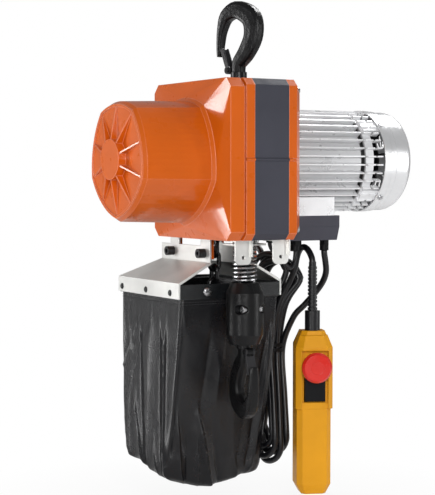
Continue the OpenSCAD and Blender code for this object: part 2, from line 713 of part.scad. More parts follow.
// seat of a flat link on the wheel, at angle 0 behind the shaft
module pocket() {
    w = link_w + 1.2;
    l = link_pitch + 2 * wire_d + 1.2;
    y0 = wheel_link_r - wire_d / 2 - 0.35;
    box([wheel_x - w / 2, y0, -(l - w) / 2], [wheel_x + w / 2, wheel_r + 5, (l - w) / 2]);
    for (s = [-1, 1]) ycyl(y0, wheel_r + 5, w / 2, wheel_x, s * (l - w) / 2);
}
module wheel_chain() {
    color("black") place() for (a = [30:30:150]) rotate([a, 0, 0])
        translate([wheel_x, wheel_link_r, 0]) rotate([0, 0, a % 60 == 30 ? 90 : 0]) link();
}
module load_chain() { color("black") place() run(wheel_x, load_y, top_link_z, load_links); }
slack_top = rest_z + 4;
module slack_chain() { color("black") place() run(wheel_x, slack_y, slack_top, slack_links, true); }
// the rest of the chain, lying in the bag in two flat rings
pile_links = 12;
// height of a link that leans at 45 degrees
pile_step = (2 * link_turn_r * sin(45) + wire_d) + 0.02;
module stored_chain() {
    pile_r = pile_links * link_pitch / 2 / PI;
    bottom = band_top - band_h - bag_depth + 8.7;
    color("black") place() for (k = [0:1]) translate([18, 99, bottom + (k + 0.5) * pile_step])
        rotate([0, 0, k * 7]) for (i = [0:pile_links - 1]) rotate([0, 0, i * 360 / pile_links])
            translate([pile_r, 0, 0]) rotate([90, 0, 0]) rotate([0, 0, i % 2 * 90 + 45]) link();
}
module chain_guide() {
    sweep = wheel_link_r + link_w / 2 + 4;
    color("gray") place() difference() {
        box([wheel_x - 17, -56, rest_z + case_wall], [wheel_x + 17, 62, -30]);
        xcyl(0, housing_len, sweep);
        for (y = [load_y, slack_y]) box([wheel_x - link_w / 2 - gap, y - link_w / 2 - gap, rest_z],
            [wheel_x + link_w / 2 + gap, y + link_w / 2 + gap, 0]);
        for (s = [-1, 1]) zcyl(rest_z, rest_z + case_wall + 20, 3.5 + run_fit, wheel_x + s * 18, load_y);
    }
}

// ---------------------------------------------------------------- hooks
// stations along the forging: place across and up, half width, half thickness
hook_line = [[0, -74, 8, 8], [0, -66, 8.2, 8], [1.8, -59, 9.6, 8], [13.5, -46, 11.8, 8.2],
    [24.4, -27, 13.2, 8.5], [25, -8, 14, 8.7], [16.9, 3.7, 13.7, 8.8], [-3, 11.5, 11.7, 8.8],
    [-20.6, 3.8, 9.1, 8.4], [-28.4, -14, 5.6, 7.6], [-31, -30, 4.4, 6.6], [-32, -43, 3.7, 5.8],
    [-32.3, -50, 3, 5]];
function hook_section(p, side, w, t, n = 16) = [for (k = [0:n - 1])
    let (a = k * 360 / n, c = cos(a), s = sin(a), e = 0.55)
    [p[0], 0, p[1]] + w * sign(c) * pow(abs(c), e) * [side[0], 0, side[1]]
        + [0, t * sign(s) * pow(abs(s), e), 0]];
module hook_body(collar_len, shank_len) {
    k = hook_throat_r / 17.5;
    q = smooth([for (p = hook_line) [p[0] * k, p[1], p[2], p[3] * hook_thick / 17]], 4);
    loft([for (i = [0:len(q) - 1]) let (t = unit([q[min(i + 1, len(q) - 1)][0] - q[max(i - 1, 0)][0],
        q[min(i + 1, len(q) - 1)][1] - q[max(i - 1, 0)][1]]))
        hook_section(q[i], [-t[1], t[0]], q[i][2], q[i][3])]);
    zcyl(-collar_drop - collar_len, -collar_drop + 2, 11);
    zcyl(-collar_drop - collar_len - shank_len, -collar_drop - collar_len, shank_r);
    difference() {
        union() {
            ycyl(-4, 4, 5, pivot_u, pivot_z);
            box([pivot_u, -4, pivot_z - 5], [-4, 4, pivot_z + 5]);
        }
        ycyl(-5, 5, latch_pin_r, pivot_u, pivot_z);
    }
}
module hook_latch() {
    tip_u = -25.6;
    lean = atan2(tip_u - pivot_u, -40 - pivot_z);
    len = norm([tip_u - pivot_u, -40 - pivot_z]);
    translate([pivot_u, 0, pivot_z]) rotate([0, lean, 0]) {
        box([-2, -6.3, 6.5], [0, 6.3, len]);
        for (s = [-1, 1]) difference() {
            union() {
                box([-2, s > 0 ? 4.4 : -6.3, 0], [3, s > 0 ? 6.3 : -4.4, 12]);
                box([-2, s > 0 ? 4.4 : -6.3, 11], [3, s > 0 ? 6.3 : -4.4, len]);
                ycyl(s > 0 ? 4.4 : -6.3, s > 0 ? 6.3 : -4.4, 5.2);
            }
            ycyl(-8, 8, latch_pin_r + run_fit);
        }
    }
}
module latch_pin() {
    ycyl(-7, 7, latch_pin_r, pivot_u, pivot_z);
    for (s = [-1, 1]) ycyl(s > 0 ? 6.6 : -8, s > 0 ? 8 : -6.6, latch_pin_r + 1.4, pivot_u, pivot_z);
}
module at_top_hook() { translate(seat) rotate([0, 0, top_hook_turn]) children(); }
module at_low_hook() { translate(low_seat) rotate([0, 0, bottom_hook_turn]) rotate([180, 0, 0]) children(); }
top_collar = seat_z - collar_drop - half - gap;
top_shank = 52;
module top_hook() { color([0.12, 0.12, 0.13]) place() at_top_hook() hook_body(top_collar, top_shank); }
module top_hook_nut() {
    z1 = half - 30 - gap;
    color("silver") place() difference() {
        union() {
            zcyl(z1 - 4, z1, 17, wheel_x, -seat_front);
            zcyl(z1 - 16, z1 - 4, 15, wheel_x, -seat_front, $fn = 6);
        }
        zcyl(z1 - 17, z1 + 1, shank_r, wheel_x, -seat_front);
    }
}
module top_latch() { color("slategray") place() at_top_hook() hook_latch(); }
module top_latch_pin() { color("black") place() at_top_hook() latch_pin(); }
low_shank = 18;
module bottom_hook() { color([0.12, 0.12, 0.13]) place() at_low_hook() hook_body(4, low_shank); }
module bottom_hook_nut() {
    z0 = block_bottom + 10;
    color("silver") place() difference() {
        zcyl(z0, z0 + 7, 13, wheel_x, load_y);
        zcyl(z0 - 1, z0 + 8, shank_r, wheel_x, load_y);
    }
}
module bottom_latch() { color("slategray") place() at_low_hook() hook_latch(); }
module bottom_latch_pin() { color("black") place() at_low_hook() latch_pin(); }

// ---------------------------------------------------------------- hook block
block_bolt_z = block_top - 35;
// the last links hang in a hollow this far across each way, on a pin through the block
chain_room = link_w / 2 + 1;
chain_pin_z = top_link_z - (load_links - 1) * link_pitch - link_pitch / 2 + 3.05;
module block_body() {
    r = block_r;
    translate([wheel_x, load_y, 0]) difference() {
        rotate_extrude() polygon([[0, block_top], [18.6, block_top], [r, block_top - 14],
            [r, block_bottom + 13], [20.5, block_bottom], [0, block_bottom]]);
        zcyl(block_top - 34, block_top + 1, chain_room);
        box([-chain_room, -chain_room, chain_pin_z - 17.5], [chain_room, chain_room, block_top - 30]);
        zcyl(block_bottom - 1, block_bottom + 20, shank_r + run_fit);
        zcyl(block_bottom + 10 - gap, block_bottom + 21, 13 + gap);
    }
}
module block_half(side) {
    color([0.15, 0.15, 0.17]) place() difference() {
        intersection() {
            block_body();
            box([side > 0 ? wheel_x + 0.02 : wheel_x - 40, load_y - 40, block_bottom - 1],
                [side > 0 ? wheel_x + 40 : wheel_x - 0.02, load_y + 40, block_top + 1]);
        }
        for (s = [-1, 1]) {
            xcyl(wheel_x - 40, wheel_x + 40, 3, y = load_y + s * 17.5, z = block_bolt_z);
            if (side < 0) xcyl(wheel_x - 40, wheel_x - 8, 6.5, y = load_y + s * 17.5, z = block_bolt_z);
            if (side > 0) xcyl(wheel_x + 8, wheel_x + 40, 6.5, y = load_y + s * 17.5, z = block_bolt_z);
        }
        xcyl(wheel_x - 16, wheel_x + 16, 3, y = load_y, z = chain_pin_z);
    }
}
module block_left() { block_half(-1); }
module block_right() { block_half(1); }
module block_bolts() {
    color("silver") place() {
        for (s = [-1, 1]) {
            y = load_y + s * 17.5;
            xcyl(wheel_x - 8, wheel_x + 15, 3, y = y, z = block_bolt_z);
            difference() {
                xcyl(wheel_x - 15, wheel_x - 8, 5, y = y, z = block_bolt_z);
                xcyl(wheel_x - 16, wheel_x - 11, 2.9, y = y, z = block_bolt_z, $fn = 6);
            }
            difference() {
                xcyl(wheel_x + 8, wheel_x + 14, 5.6, y = y, z = block_bolt_z, $fn = 6);
                xcyl(wheel_x + 7, wheel_x + 16, 3, y = y, z = block_bolt_z);
            }
        }
        xcyl(wheel_x - 16, wheel_x + 16, 3, y = load_y, z = chain_pin_z);
    }
}
module buffer_spring() {
    turns = 9;
    per = 16;
    r = spring_r - spring_wire / 2;
    z0 = block_top + gap / 3 + spring_wire / 2;
    rise = spring_len - spring_wire;
    // the first and last turn lie closed, the rest rise evenly
    function lift(t) = t < 1 ? t * spring_wire * 1.02 : t > turns - 1
        ? rise - (turns - t) * spring_wire * 1.02
        : spring_wire * 1.02 + (t - 1) / (turns - 2) * (rise - 2.04 * spring_wire);
    color("silver") place() translate([wheel_x, load_y, z0]) tube([for (i = [0:turns * per])
        [r * cos(i * 360 / per), r * sin(i * 360 / per), lift(i / per)]], spring_wire / 2, 6, [0, 0, 1]);
}

// ---------------------------------------------------------------- underside
module limit_plate() {
    z0 = block_top + spring_len + 0.9;
    color("silver") place() {
        difference() {
            box([wheel_x - 24, load_y - 16, z0], [wheel_x + 24, load_y + 16, z0 + 2.5]);
            zcyl(z0 - 1, z0 + 5, 12, wheel_x, load_y);
        }
        for (s = [-1, 1]) zcyl(z0 + 1, rest_z + case_wall + 6, 3.5, wheel_x + s * 18, load_y);
    }
}
module front_tabs() {
    tabs = [[-14.5, 24, rest_z - 32.5], [43.5, 24, rest_z - 33]];
    color("gainsboro") place() for (t = tabs) difference() {
        union() {
            hull() {
                box([t[0], tab_y, rest_z - 10], [t[0] + t[1], tab_y + sheet_t, rest_z]);
                ycyl(tab_y, tab_y + sheet_t, 7, t[0] + 7, t[2] + 7);
                ycyl(tab_y, tab_y + sheet_t, 7, t[0] + t[1] - 7, t[2] + 7);
            }
            box([t[0], tab_y, rest_z - sheet_t], [t[0] + t[1], tab_y + 26, rest_z - eps]);
            box([t[0] + t[1] - 2, tab_y - 4, rest_z - 22], [t[0] + t[1], tab_y + 1, rest_z - eps]);
        }
        ycyl(tab_y - 1, tab_y + sheet_t + 1, tab_hole_r, t[0] + t[1] / 2, rest_z - 23);
        zcyl(rest_z - 5, rest_z + 1, 2.7, t[0] + t[1] / 2, tab_y + 16);
    }
}
// bent sheet from the case down to the lip over the bag
module bracket(x_in, x_out, z_knee, z_lip) {
    d = x_out > x_in ? 1 : -1;
    y0 = bag_y0;
    y1 = bag_y0 + bag_y;
    lip_bottom = band_top - band_h + 1;
    module slab(a, b) { box([min(a[0], b[0]), a[1], a[2]], [max(a[0], b[0]), b[1], b[2]]); }
    difference() {
        union() {
            slab([x_in, y0, z_knee], [x_in + d * sheet_t, y0 + 138, plate_top]);
            for (e = ear_ys) slab([x_in, e[0], plate_top - 1], [x_in + d * sheet_t, e[1], rest_z - 0.02]);
            hull() {
                slab([x_in, y0, z_knee - sheet_t], [x_in + d * sheet_t, y0 + 138, z_knee]);
                slab([x_out - d * sheet_t, y0, z_lip - sheet_t], [x_out, y1, z_lip]);
            }
            slab([x_out - d * sheet_t, y0, lip_bottom], [x_out, y1, z_lip]);
        }
        for (y = lug_ys) xcyl(x_in - 5, x_in + 5, bracket_bolt_r + gap, y = y, z = bolt_z);
    }
}
module left_bracket() {
    color("gainsboro") place() bracket(left_plate_x + sheet_t, bag_x0, plate_z, band_top + sheet_t + 0.02);
}
module right_bracket() {
    color("gainsboro") place() bracket(right_plate_x, bag_x0 + bag_x + 2 * sheet_t + 0.04, plate_z - 2,
        band_top + sheet_t + 0.02);
}
module bracket_bolts() {
    color([0.15, 0.15, 0.15]) place() {
        for (y = lug_ys) {
            difference() {
                xcyl(left_plate_x - 11, left_plate_x, 6.4, y = y, z = bolt_z);
                xcyl(left_plate_x - 12, left_plate_x - 6, 3.4, y = y, z = bolt_z, $fn = 6);
            }
            xcyl(left_plate_x, -3, bracket_bolt_r, y = y, z = bolt_z);
            difference() {
                xcyl(right_plate_x - 6, right_plate_x, 5.4, y = y, z = bolt_z);
                xcyl(right_plate_x - 7, right_plate_x - 3, 2.9, y = y, z = bolt_z, $fn = 6);
            }
            xcyl(right_plate_x, right_plate_x + 10, bracket_bolt_r, y = y, z = bolt_z);
        }
        for (x = [-2.5, 55.5]) {
            zcyl(rest_z - 8, rest_z + 0.01, 2.5, x, tab_y + 16);
            zcyl(rest_z - 6, rest_z - sheet_t, 4.5, x, tab_y + 16);
        }
    }
}
frame_x0 = bag_x0 + sheet_t;
module bag_frame() {
    t = 1.5;
    color([0.1, 0.1, 0.11]) place() difference() {
        box([frame_x0 + 0.02, bag_y0, band_top - band_h], [frame_x0 + bag_x, bag_y0 + bag_y, band_top]);
        box([frame_x0 + t, bag_y0 + t, band_top - band_h - 1],
            [frame_x0 + bag_x - t, bag_y0 + bag_y - t, band_top + 1]);
    }
}
// rounded rectangle as a ring of points at height z
function bag_ring(x0, x1, y0, y1, z, r, n = 4) = [for (c = [[x1 - r, y1 - r, 0], [x0 + r, y1 - r, 90],
    [x0 + r, y0 + r, 180], [x1 - r, y0 + r, 270]]) for (k = [0:n]) [c[0] + r * cos(c[2] + k * 90 / n),
    c[1] + r * sin(c[2] + k * 90 / n), z]];
module bag_solid(t) {
    x0 = frame_x0 + 1.5;
    x1 = frame_x0 + bag_x - 1.5;
    y0 = bag_y0 + 1.5;
    y1 = bag_y0 + bag_y - 1.5;
    zb = band_top - band_h;
    g = gap;
    loft([bag_ring(x0 + g + t, x1 - g - t, y0 + g + t, y1 - g - t, band_top - 3 + (t > 0 ? 5 : 0), 3),
        bag_ring(x0 + g + t, x1 - g - t, y0 + g + t, y1 - g - t, zb - 1, 3),
        bag_ring(x0 - 1 + t, x1 + 1 - t, y0 + t, y1 - t, zb - 9, 6),
        bag_ring(x0 - 3 + t, x1 - t, y0 + 14 + t, y1 + 1 - t, zb - bag_depth * 0.4, 10),
        bag_ring(x0 - 4 + t, x1 - 3 - t, y0 + 40 + t, y1 - 8 - t, zb - bag_depth * 0.87, 14),
        bag_ring(x0 + 6 + t, x1 - 14 - t, y0 + 52 + t, y1 - 20 - t, zb - bag_depth * 0.96 + t / 2, 18),
        bag_ring(x0 + 30 + t, x1 - 38 - t, y0 + 74 + t, y1 - 44 - t, zb - bag_depth + t, 18)]);
}
module chain_bag() {
    color([0.12, 0.12, 0.13]) place() difference() {
        bag_solid(0);
        bag_solid(2.2);
    }
}

// ---------------------------------------------------------------- terminal box
jbox_mid = jbox_top - jbox_h * 0.45;
module shell(lo, hi, open_up, w = jbox_wall) {
    difference() {
        box(lo, hi);
        box(lo + [w, w, open_up ? w : -1], hi - [w, w, open_up ? -1 : w]);
    }
}
module junction_box() {
    color("dimgray") place() shell([jbox_x, -jbox_w / 2, jbox_mid + 0.02],
        [jbox_x + jbox_len, jbox_w / 2, jbox_top], false);
}
module jbox_glands() {
    translate([limit_gland_x, gland_y, 0]) children();
    translate([control_gland[0], control_gland[1], 0]) children();
    translate([power_gland_x, gland_y, 0]) children();
}
jbox_bottom = jbox_top - jbox_h;
module junction_lid() {
    x1 = jbox_x + jbox_len;
    w = jbox_w / 2;
    color("dimgray") place() difference() {
        loft([for (s = [0, 1]) let (d = s * 2.5, z = s > 0 ? jbox_bottom : jbox_mid)
            [[jbox_x, -w + d, z], [x1 - d, -w + d, z], [x1 - d, w - d, z], [jbox_x, w - d, z]]]);
        box([jbox_x + jbox_wall, -w + 5.5, jbox_bottom + jbox_wall], [x1 - 6, w - 5.5, jbox_mid + 1]);
        jbox_glands() zcyl(jbox_bottom - 1, jbox_bottom + 7, 5.05);
    }
}
module cable_glands() {
    color("black") place() {
        for (g = [[limit_gland_x, gland_y, 7.6, 3.4], [control_gland[0], control_gland[1], 7, 4.4],
            [power_gland_x, gland_y, 7, 4.4]]) translate([g[0], g[1], 0]) difference() {
            union() {
                zcyl(jbox_bottom - 7, jbox_bottom - eps, g[2], $fn = 6);
                zcyl(jbox_bottom - gland_h, jbox_bottom - 7, g[2] - 0.8);
                zcyl(jbox_bottom - 1, jbox_bottom + 6, 4.8);
            }
            zcyl(jbox_bottom - gland_h - 1, jbox_bottom + 7, g[3]);
        }
        // the limit lead goes up into the case through a small gland
        difference() {
            zcyl(rest_z - 6, rest_z - eps, 5, 62, -42);
            zcyl(rest_z - 7, rest_z - 2, 3.4, 62, -42);
        }
    }
}
module electrics() {
    z0 = jbox_bottom + jbox_wall;
    color("ivory") place() {
        box([jbox_x + 8, -30, z0 + 0.02], [jbox_x + 22, 20, z0 + 14]);
        xcyl(jbox_x + 24, jbox_x + 80, 11, y = 28, z = z0 + 11.02);
        box([jbox_x + 42, -38, z0 + 0.02], [jbox_x + 70, -16 - 4, z0 + 18]);
    }
}

// ---------------------------------------------------------------- pendant
module at_pendant() { place() translate(pend) rotate([0, 0, pendant_turn]) children(); }
wall = 2.5;
guard = 5;
function pend_section(w, d, c, y_off, z) = [[-w / 2, d / 2 + y_off, z], [w / 2, d / 2 + y_off, z],
    [w / 2, -d / 2 + c + y_off, z], [w / 2 - c, -d / 2 + y_off, z], [-w / 2 + c, -d / 2 + y_off, z],
    [-w / 2, -d / 2 + c + y_off, z]];
module pend_form(inset, h1, h0) {
    w = pendant_w - 2 * inset;
    d = pendant_d - 2 * inset;
    loft([pend_section(w - 20, d - 8, 7, 0, -h0), pend_section(w - 4, d, 7, 0, -h0 - 19 + inset),
        pend_section(w - 4, d, 7, 0, -h1 + 13), pend_section(w - 18, d - 6, 5, 0, -h1)]);
}
function guard_section(w, y_front, c, z) = [[-w / 2, 4, z], [w / 2, 4, z], [w / 2, y_front + c, z],
    [w / 2 - c, y_front, z], [-w / 2 + c, y_front, z], [-w / 2, y_front + c, z]];
module pend_shell() {
    y_seat = -pendant_d / 2 + 2;
    y_guard = -pendant_d / 2 - guard;
    difference() {
        union() {
            difference() {
                union() {
                    pend_form(0, pendant_h, 0);
                    // raised guard round the buttons
                    loft([guard_section(pendant_w, y_guard, 9, -108),
                        guard_section(pendant_w, y_guard, 9, -23),
                        guard_section(pendant_w - 13, y_guard + 6, 7, -6)]);
                }
                pend_form(wall, pendant_h - wall, wall);
            }
            // seat behind the buttons
            box([-21.5, y_seat - 1, -101], [21.5, y_seat + 2, -25]);
        }
        box([-18.5, -pendant_d, -99], [18.5, y_seat, -27]);
        box([-18.5, -pendant_d, -109], [18.5, -pendant_d / 2 - 0.3, -98]);
        ycyl(-pendant_d, 0, 8.5, 0, stop_z);
        box([-14.8, -pendant_d, rocker_z - 17], [14.8, 0, rocker_z + 16]);
        zcyl(-wall - 1, 1, 6);
    }
}
module pendant_front() {
    color("gold") at_pendant() intersection() {
        pend_shell();
        box([-40, -60, -300], [40, 5, 5]);
    }
}
module pendant_back() {
    color("gold") at_pendant() {
        intersection() {
            pend_shell();
            box([-40, 5.02, -300], [40, 60, 5]);
        }
        box([-14, 5.02, -120], [14, pendant_d / 2 - 1, -108]);
    }
}
module stop_button() {
    y0 = -pendant_d / 2 - 9;
    color("red") at_pendant() {
        difference() {
            translate([0, y0, stop_z]) rotate([90, 0, 0]) rotate_extrude()
                polygon([[0, 0], [stop_r - 4, 0], [stop_r, 3], [stop_r, 7], [stop_r - 3, 10.5], [0, 12]]);
            ycyl(y0 - 14, y0 - 11, 9, 0, stop_z);
        }
        ycyl(y0 - 1, -4, 8.5 - gap, 0, stop_z);
    }
}
module rocker_switch() {
    y0 = -pendant_d / 2;
    color("black") at_pendant() {
        difference() {
            box([-14.2, y0 - 3, rocker_z - 16], [14.2, y0 + 8, rocker_z + 15]);
            for (s = [-1, 1]) translate([0, y0 - 3, rocker_z - 0.5]) rotate([s * 7, 0, 0])
                box([-15, -9, s > 0 ? 0 : -20], [15, 0, s > 0 ? 20 : 0]);
        }
        xcyl(-14.5, 14.5, 2, y = y0 + 5, z = rocker_z - 0.5);
    }
}
module pendant_boot() {
    n = 12;
    pitch = (boot_h - 6) / n;
    color([0.1, 0.1, 0.1]) at_pendant() difference() {
        union() {
            zcyl(eps, collar_h, 10.5);
            zcyl(collar_h, collar_h + boot_h, boot_r - 1.6);
            for (i = [0:n - 1]) zcyl(collar_h + i * pitch + 1.2, collar_h + i * pitch + pitch - 0.6, boot_r - 0.05 * i);
            zcyl(-3, 1, 5.9);
        }
        zcyl(collar_h + boot_h - 8, collar_h + boot_h + 1, cable_r + 0.5);
    }
}

// ---------------------------------------------------------------- cables
cable_r = 4.4;
lead_r = 2.8;
gland_z = jbox_bottom - gland_h;
boot_top = pend[2] + collar_h + boot_h;
// from the control gland down behind the boot into the hank
control_route = [[128, -8, gland_z + 2], [128, -8, gland_z - 5], [128, -5.5, -142], [127.5, 0, -155],
    [127, 10, -170], [125, 15, -186]];
// from the hank up and over into the boot of the pendant
pendant_route = [[141, 17, -172], [142.5, 19, -158], [143, 18, -145], [143, 13, -132], [142, 4, -123],
    [141, -7, -120.5], [140.4, -17, -124], [140.4, -25, -132], [140.4, -28.2, -139],
    [pend[0], pend[1], boot_top + 2], [pend[0], pend[1], boot_top - 7.5]];
// from the power gland out to the right and back into the hank
power_route = [[160, -28, gland_z + 2], [160.3, -28, gland_z - 5], [163.5, -26.5, -142], [168, -21, -156],
    [169.5, -10, -171], [163.5, 2, -188], [152, 10, -204], [138, 16, -220]];
// from the limit gland in a small bend up into the case
limit_route = [[limit_gland_x, gland_y, gland_z + 2], [limit_gland_x, gland_y, gland_z - 4.5],
    [108.8, -30, gland_z - 15.5], [101, -33.5, gland_z - 22.5], [91.5, -36.7, gland_z - 18], [81, -39.5, rest_z - 28],
    [72, -41.2, rest_z - 21.5], [65.5, -42, rest_z - 16], [62, -42, rest_z - 9], [62, -42, rest_z - 2.5]];
module control_cable() {
    color("black") place() {
        tube(smooth(control_route, 2), cable_r);
        tube(smooth(pendant_route, 2), cable_r);
    }
}
// from the hank over its back and down into the plug
plug_at = [118, 118, -222];
plug_route = [[127, 79, -146], [126.5, 85, -131], [125.5, 95, -123.5], [123.5, 107, -125.5], [121, 114.5, -137],
    [119.5, 117.5, -154], [118, 118, -180], plug_at + [0, 0, -1]];
module power_cord() {
    color("black") place() {
        tube(smooth(power_route, 2), cable_r);
        tube(smooth(plug_route, 2), cable_r);
    }
}
module power_plug() {
    color("black") place() translate(plug_at) {
        translate([0, 0, -16]) cylinder(h = 16, r1 = 9, r2 = 6.5);
        translate([0, 0, -32]) cylinder(h = 16, r1 = 17, r2 = 13);
        zcyl(-52, -32, 17);
        for (s = [-1, 1]) box([s * 6.35 - 0.75, -3.2, -69], [s * 6.35 + 0.75, 3.2, -51]);
        zcyl(-72, -51, 2.4, 0, 9);
    }
}
module limit_lead() { color("black") place() tube(smooth(limit_route, 2), lead_r); }
// outline of the tied cables seen from the front, one round end for each row: across, up, radius
hank_rings = [[131, -150, 24], [121, -266, 14], [115, -412, 16]];
hank_y = [8, 84];
module cable_hank() {
    color("black") place() translate([0, hank_y[1], 0]) rotate([90, 0, 0])
        linear_extrude(hank_y[1] - hank_y[0]) for (i = [0:1]) hull() for (h = [hank_rings[i], hank_rings[i + 1]])
            translate([h[0], h[1]]) circle(r = h[2]);
}

nose_cover();
gear_plate();
gear_housing();
motor_flange();
tie_bolts();
gear_cover();
cover_screws();
load_wheel();
output_gear();
layshaft();
layshaft_gear();
ball_bearings();
motor_shaft();
rotor_core();
stator_core();
motor_frame();
end_shield();
fan();
fan_cover();
brake_magnet();
brake_armature();
brake_disc();
chain_guide();
wheel_chain();
load_chain();
slack_chain();
stored_chain();
top_hook();
top_hook_nut();
top_latch();
top_latch_pin();
block_left();
block_right();
block_bolts();
buffer_spring();
bottom_hook();
bottom_hook_nut();
bottom_latch();
bottom_latch_pin();
limit_plate();
front_tabs();
left_bracket();
right_bracket();
bracket_bolts();
bag_frame();
chain_bag();
junction_box();
junction_lid();
cable_glands();
electrics();
pendant_front();
pendant_back();
stop_button();
rocker_switch();
pendant_boot();
control_cable();
power_cord();
cable_hank();
limit_lead();
power_plug();
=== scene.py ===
"""Dresses the electric chain hoist: paint, cables, chain bag, fasteners and the studio."""

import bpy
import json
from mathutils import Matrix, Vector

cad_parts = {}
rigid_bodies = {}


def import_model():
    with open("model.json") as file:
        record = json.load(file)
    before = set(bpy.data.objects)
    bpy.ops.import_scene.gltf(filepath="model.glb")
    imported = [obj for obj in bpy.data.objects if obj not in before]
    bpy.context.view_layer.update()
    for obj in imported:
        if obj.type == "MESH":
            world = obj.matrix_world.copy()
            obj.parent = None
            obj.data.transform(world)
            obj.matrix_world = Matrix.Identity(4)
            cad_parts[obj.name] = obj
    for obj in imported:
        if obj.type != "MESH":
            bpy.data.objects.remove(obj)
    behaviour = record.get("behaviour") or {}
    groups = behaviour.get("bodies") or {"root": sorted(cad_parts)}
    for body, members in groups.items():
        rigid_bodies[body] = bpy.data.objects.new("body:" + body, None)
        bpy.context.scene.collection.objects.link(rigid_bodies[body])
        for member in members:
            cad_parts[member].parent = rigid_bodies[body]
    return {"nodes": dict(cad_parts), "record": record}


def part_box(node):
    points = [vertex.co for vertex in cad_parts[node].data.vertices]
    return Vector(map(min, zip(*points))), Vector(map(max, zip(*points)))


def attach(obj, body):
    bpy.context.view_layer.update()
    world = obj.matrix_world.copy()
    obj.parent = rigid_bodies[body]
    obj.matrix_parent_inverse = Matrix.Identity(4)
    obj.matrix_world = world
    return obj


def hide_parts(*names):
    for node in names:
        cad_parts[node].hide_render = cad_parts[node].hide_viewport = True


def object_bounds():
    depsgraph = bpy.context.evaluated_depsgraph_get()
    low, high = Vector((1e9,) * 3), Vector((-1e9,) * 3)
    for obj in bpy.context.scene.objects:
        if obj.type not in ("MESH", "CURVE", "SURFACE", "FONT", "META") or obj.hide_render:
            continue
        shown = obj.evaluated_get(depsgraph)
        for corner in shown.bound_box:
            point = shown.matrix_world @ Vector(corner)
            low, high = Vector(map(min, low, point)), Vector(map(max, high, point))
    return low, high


bl_info = {
    "name": "Chain Hoist Dressing",
    "version": (1, 0, 0),
    "blender": (4, 5, 0),
    "location": "View3D > Sidebar > Hoist",
    "description": "Paints an electric chain hoist and adds its cloth bag, cables and small fasteners",
    "category": "Add Mesh",
}

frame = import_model()

import json
import math

import bmesh
import bpy
from bpy.props import FloatProperty, FloatVectorProperty, PointerProperty
from mathutils import Vector, noise

BOX_CAD = [list(map(float, corner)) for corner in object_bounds()]

# The drawing's own axes start at the shaft axis, in millimetres. The frame starts at the hook seat.
SEAT = Vector((26.0, -20.0, 190.0))


def at(x, y, z):
    """A place on the drawing, in the frame, in metres."""
    return (Vector((x, y, z)) - SEAT) / 1000


def route(points):
    """The places of a line on the drawing."""
    return [at(*p) for p in points]


def smooth(points, steps):
    """Points of a smooth curve through the given ones."""
    out = []
    n = len(points)
    for i in range(n - 1):
        a, b = points[max(i - 1, 0)], points[i]
        c, d = points[i + 1], points[min(i + 2, n - 1)]
        for j in range(steps):
            t = j / steps
            out.append(0.5 * (2 * b + (c - a) * t + (2 * a - 5 * b + 4 * c - d) * t * t
                              + (3 * b - a - 3 * c + d) * t ** 3))
    out.append(points[-1].copy())
    return out


def even(points, step):
    """The same line with its points a fixed distance apart."""
    out, left = [points[0].copy()], step
    for a, b in zip(points, points[1:]):
        run = (b - a).length
        while run >= left:
            a = a + (b - a) * (left / run)
            out.append(a.copy())
            run = (b - a).length
            left = step
        left -= run
    if (out[-1] - points[-1]).length > step * 0.3:
        out.append(points[-1].copy())
    else:
        out[-1] = points[-1].copy()
    return out


# ------------------------------------------------------------------ sizes and colours

def colour_of(name, description, default):
    return FloatVectorProperty(name=name, description=description, subtype="COLOR", size=3, min=0, max=1,
                               default=default)


def length_of(name, description, default, low, high):
    return FloatProperty(name=name, description=description, subtype="DISTANCE", default=default, min=low,
                         max=high, precision=4)


class HoistPaint(bpy.types.PropertyGroup):
    orange: colour_of("Orange", "Paint of the castings", (0.60, 0.104, 0.0030))
    charcoal: colour_of("Charcoal", "Paint of the middle housing", (0.052, 0.053, 0.068))
    silver: colour_of("Silver", "Paint of the motor", (0.83, 0.835, 0.85))
    yellow: colour_of("Yellow", "Shell of the pendant", (0.76, 0.335, 0.010))
    red: colour_of("Red", "Stop button", (0.66, 0.020, 0.012))
    edge: length_of("Edge", "Rounding of the cast edges", 0.0014, 0.0, 0.004)


class HoistBag(bpy.types.PropertyGroup):
    wrinkle: length_of("Wrinkles", "Depth of the folds in the cloth", 0.0036, 0, 0.01)
    stitch: length_of("Stitch", "Length of one stitch in the hem", 0.0045, 0.001, 0.01)


class HoistCables(bpy.types.PropertyGroup):
    cable: length_of("Cable", "Diameter of the control cable and the power cord", 0.0088, 0.006, 0.0088)
    lead: length_of("Lead", "Diameter of the lead to the limit switch", 0.0056, 0.004, 0.0056)


class HoistStage(bpy.types.PropertyGroup):
    key: FloatProperty(name="Key", description="Power of the large lamp", default=23.0, min=0)
    fill: FloatProperty(name="Fill", description="Power that the other lamps share out", default=9.6, min=0)
    sky: FloatProperty(name="Sky", description="Strength of the even light", default=0.24, min=0)


def add_node(tree, kind, inputs=(), **settings):
    """Add a node: its settings by name, and each input either linked to a socket or given a value."""
    node = tree.nodes.new(kind)
    for key, value in settings.items():
        setattr(node, key, value)
    for key, value in dict(inputs).items():
        if isinstance(value, bpy.types.NodeSocket):
            tree.links.new(value, node.inputs[key])
        else:
            node.inputs[key].default_value = value
    return node


# ------------------------------------------------------------------ materials

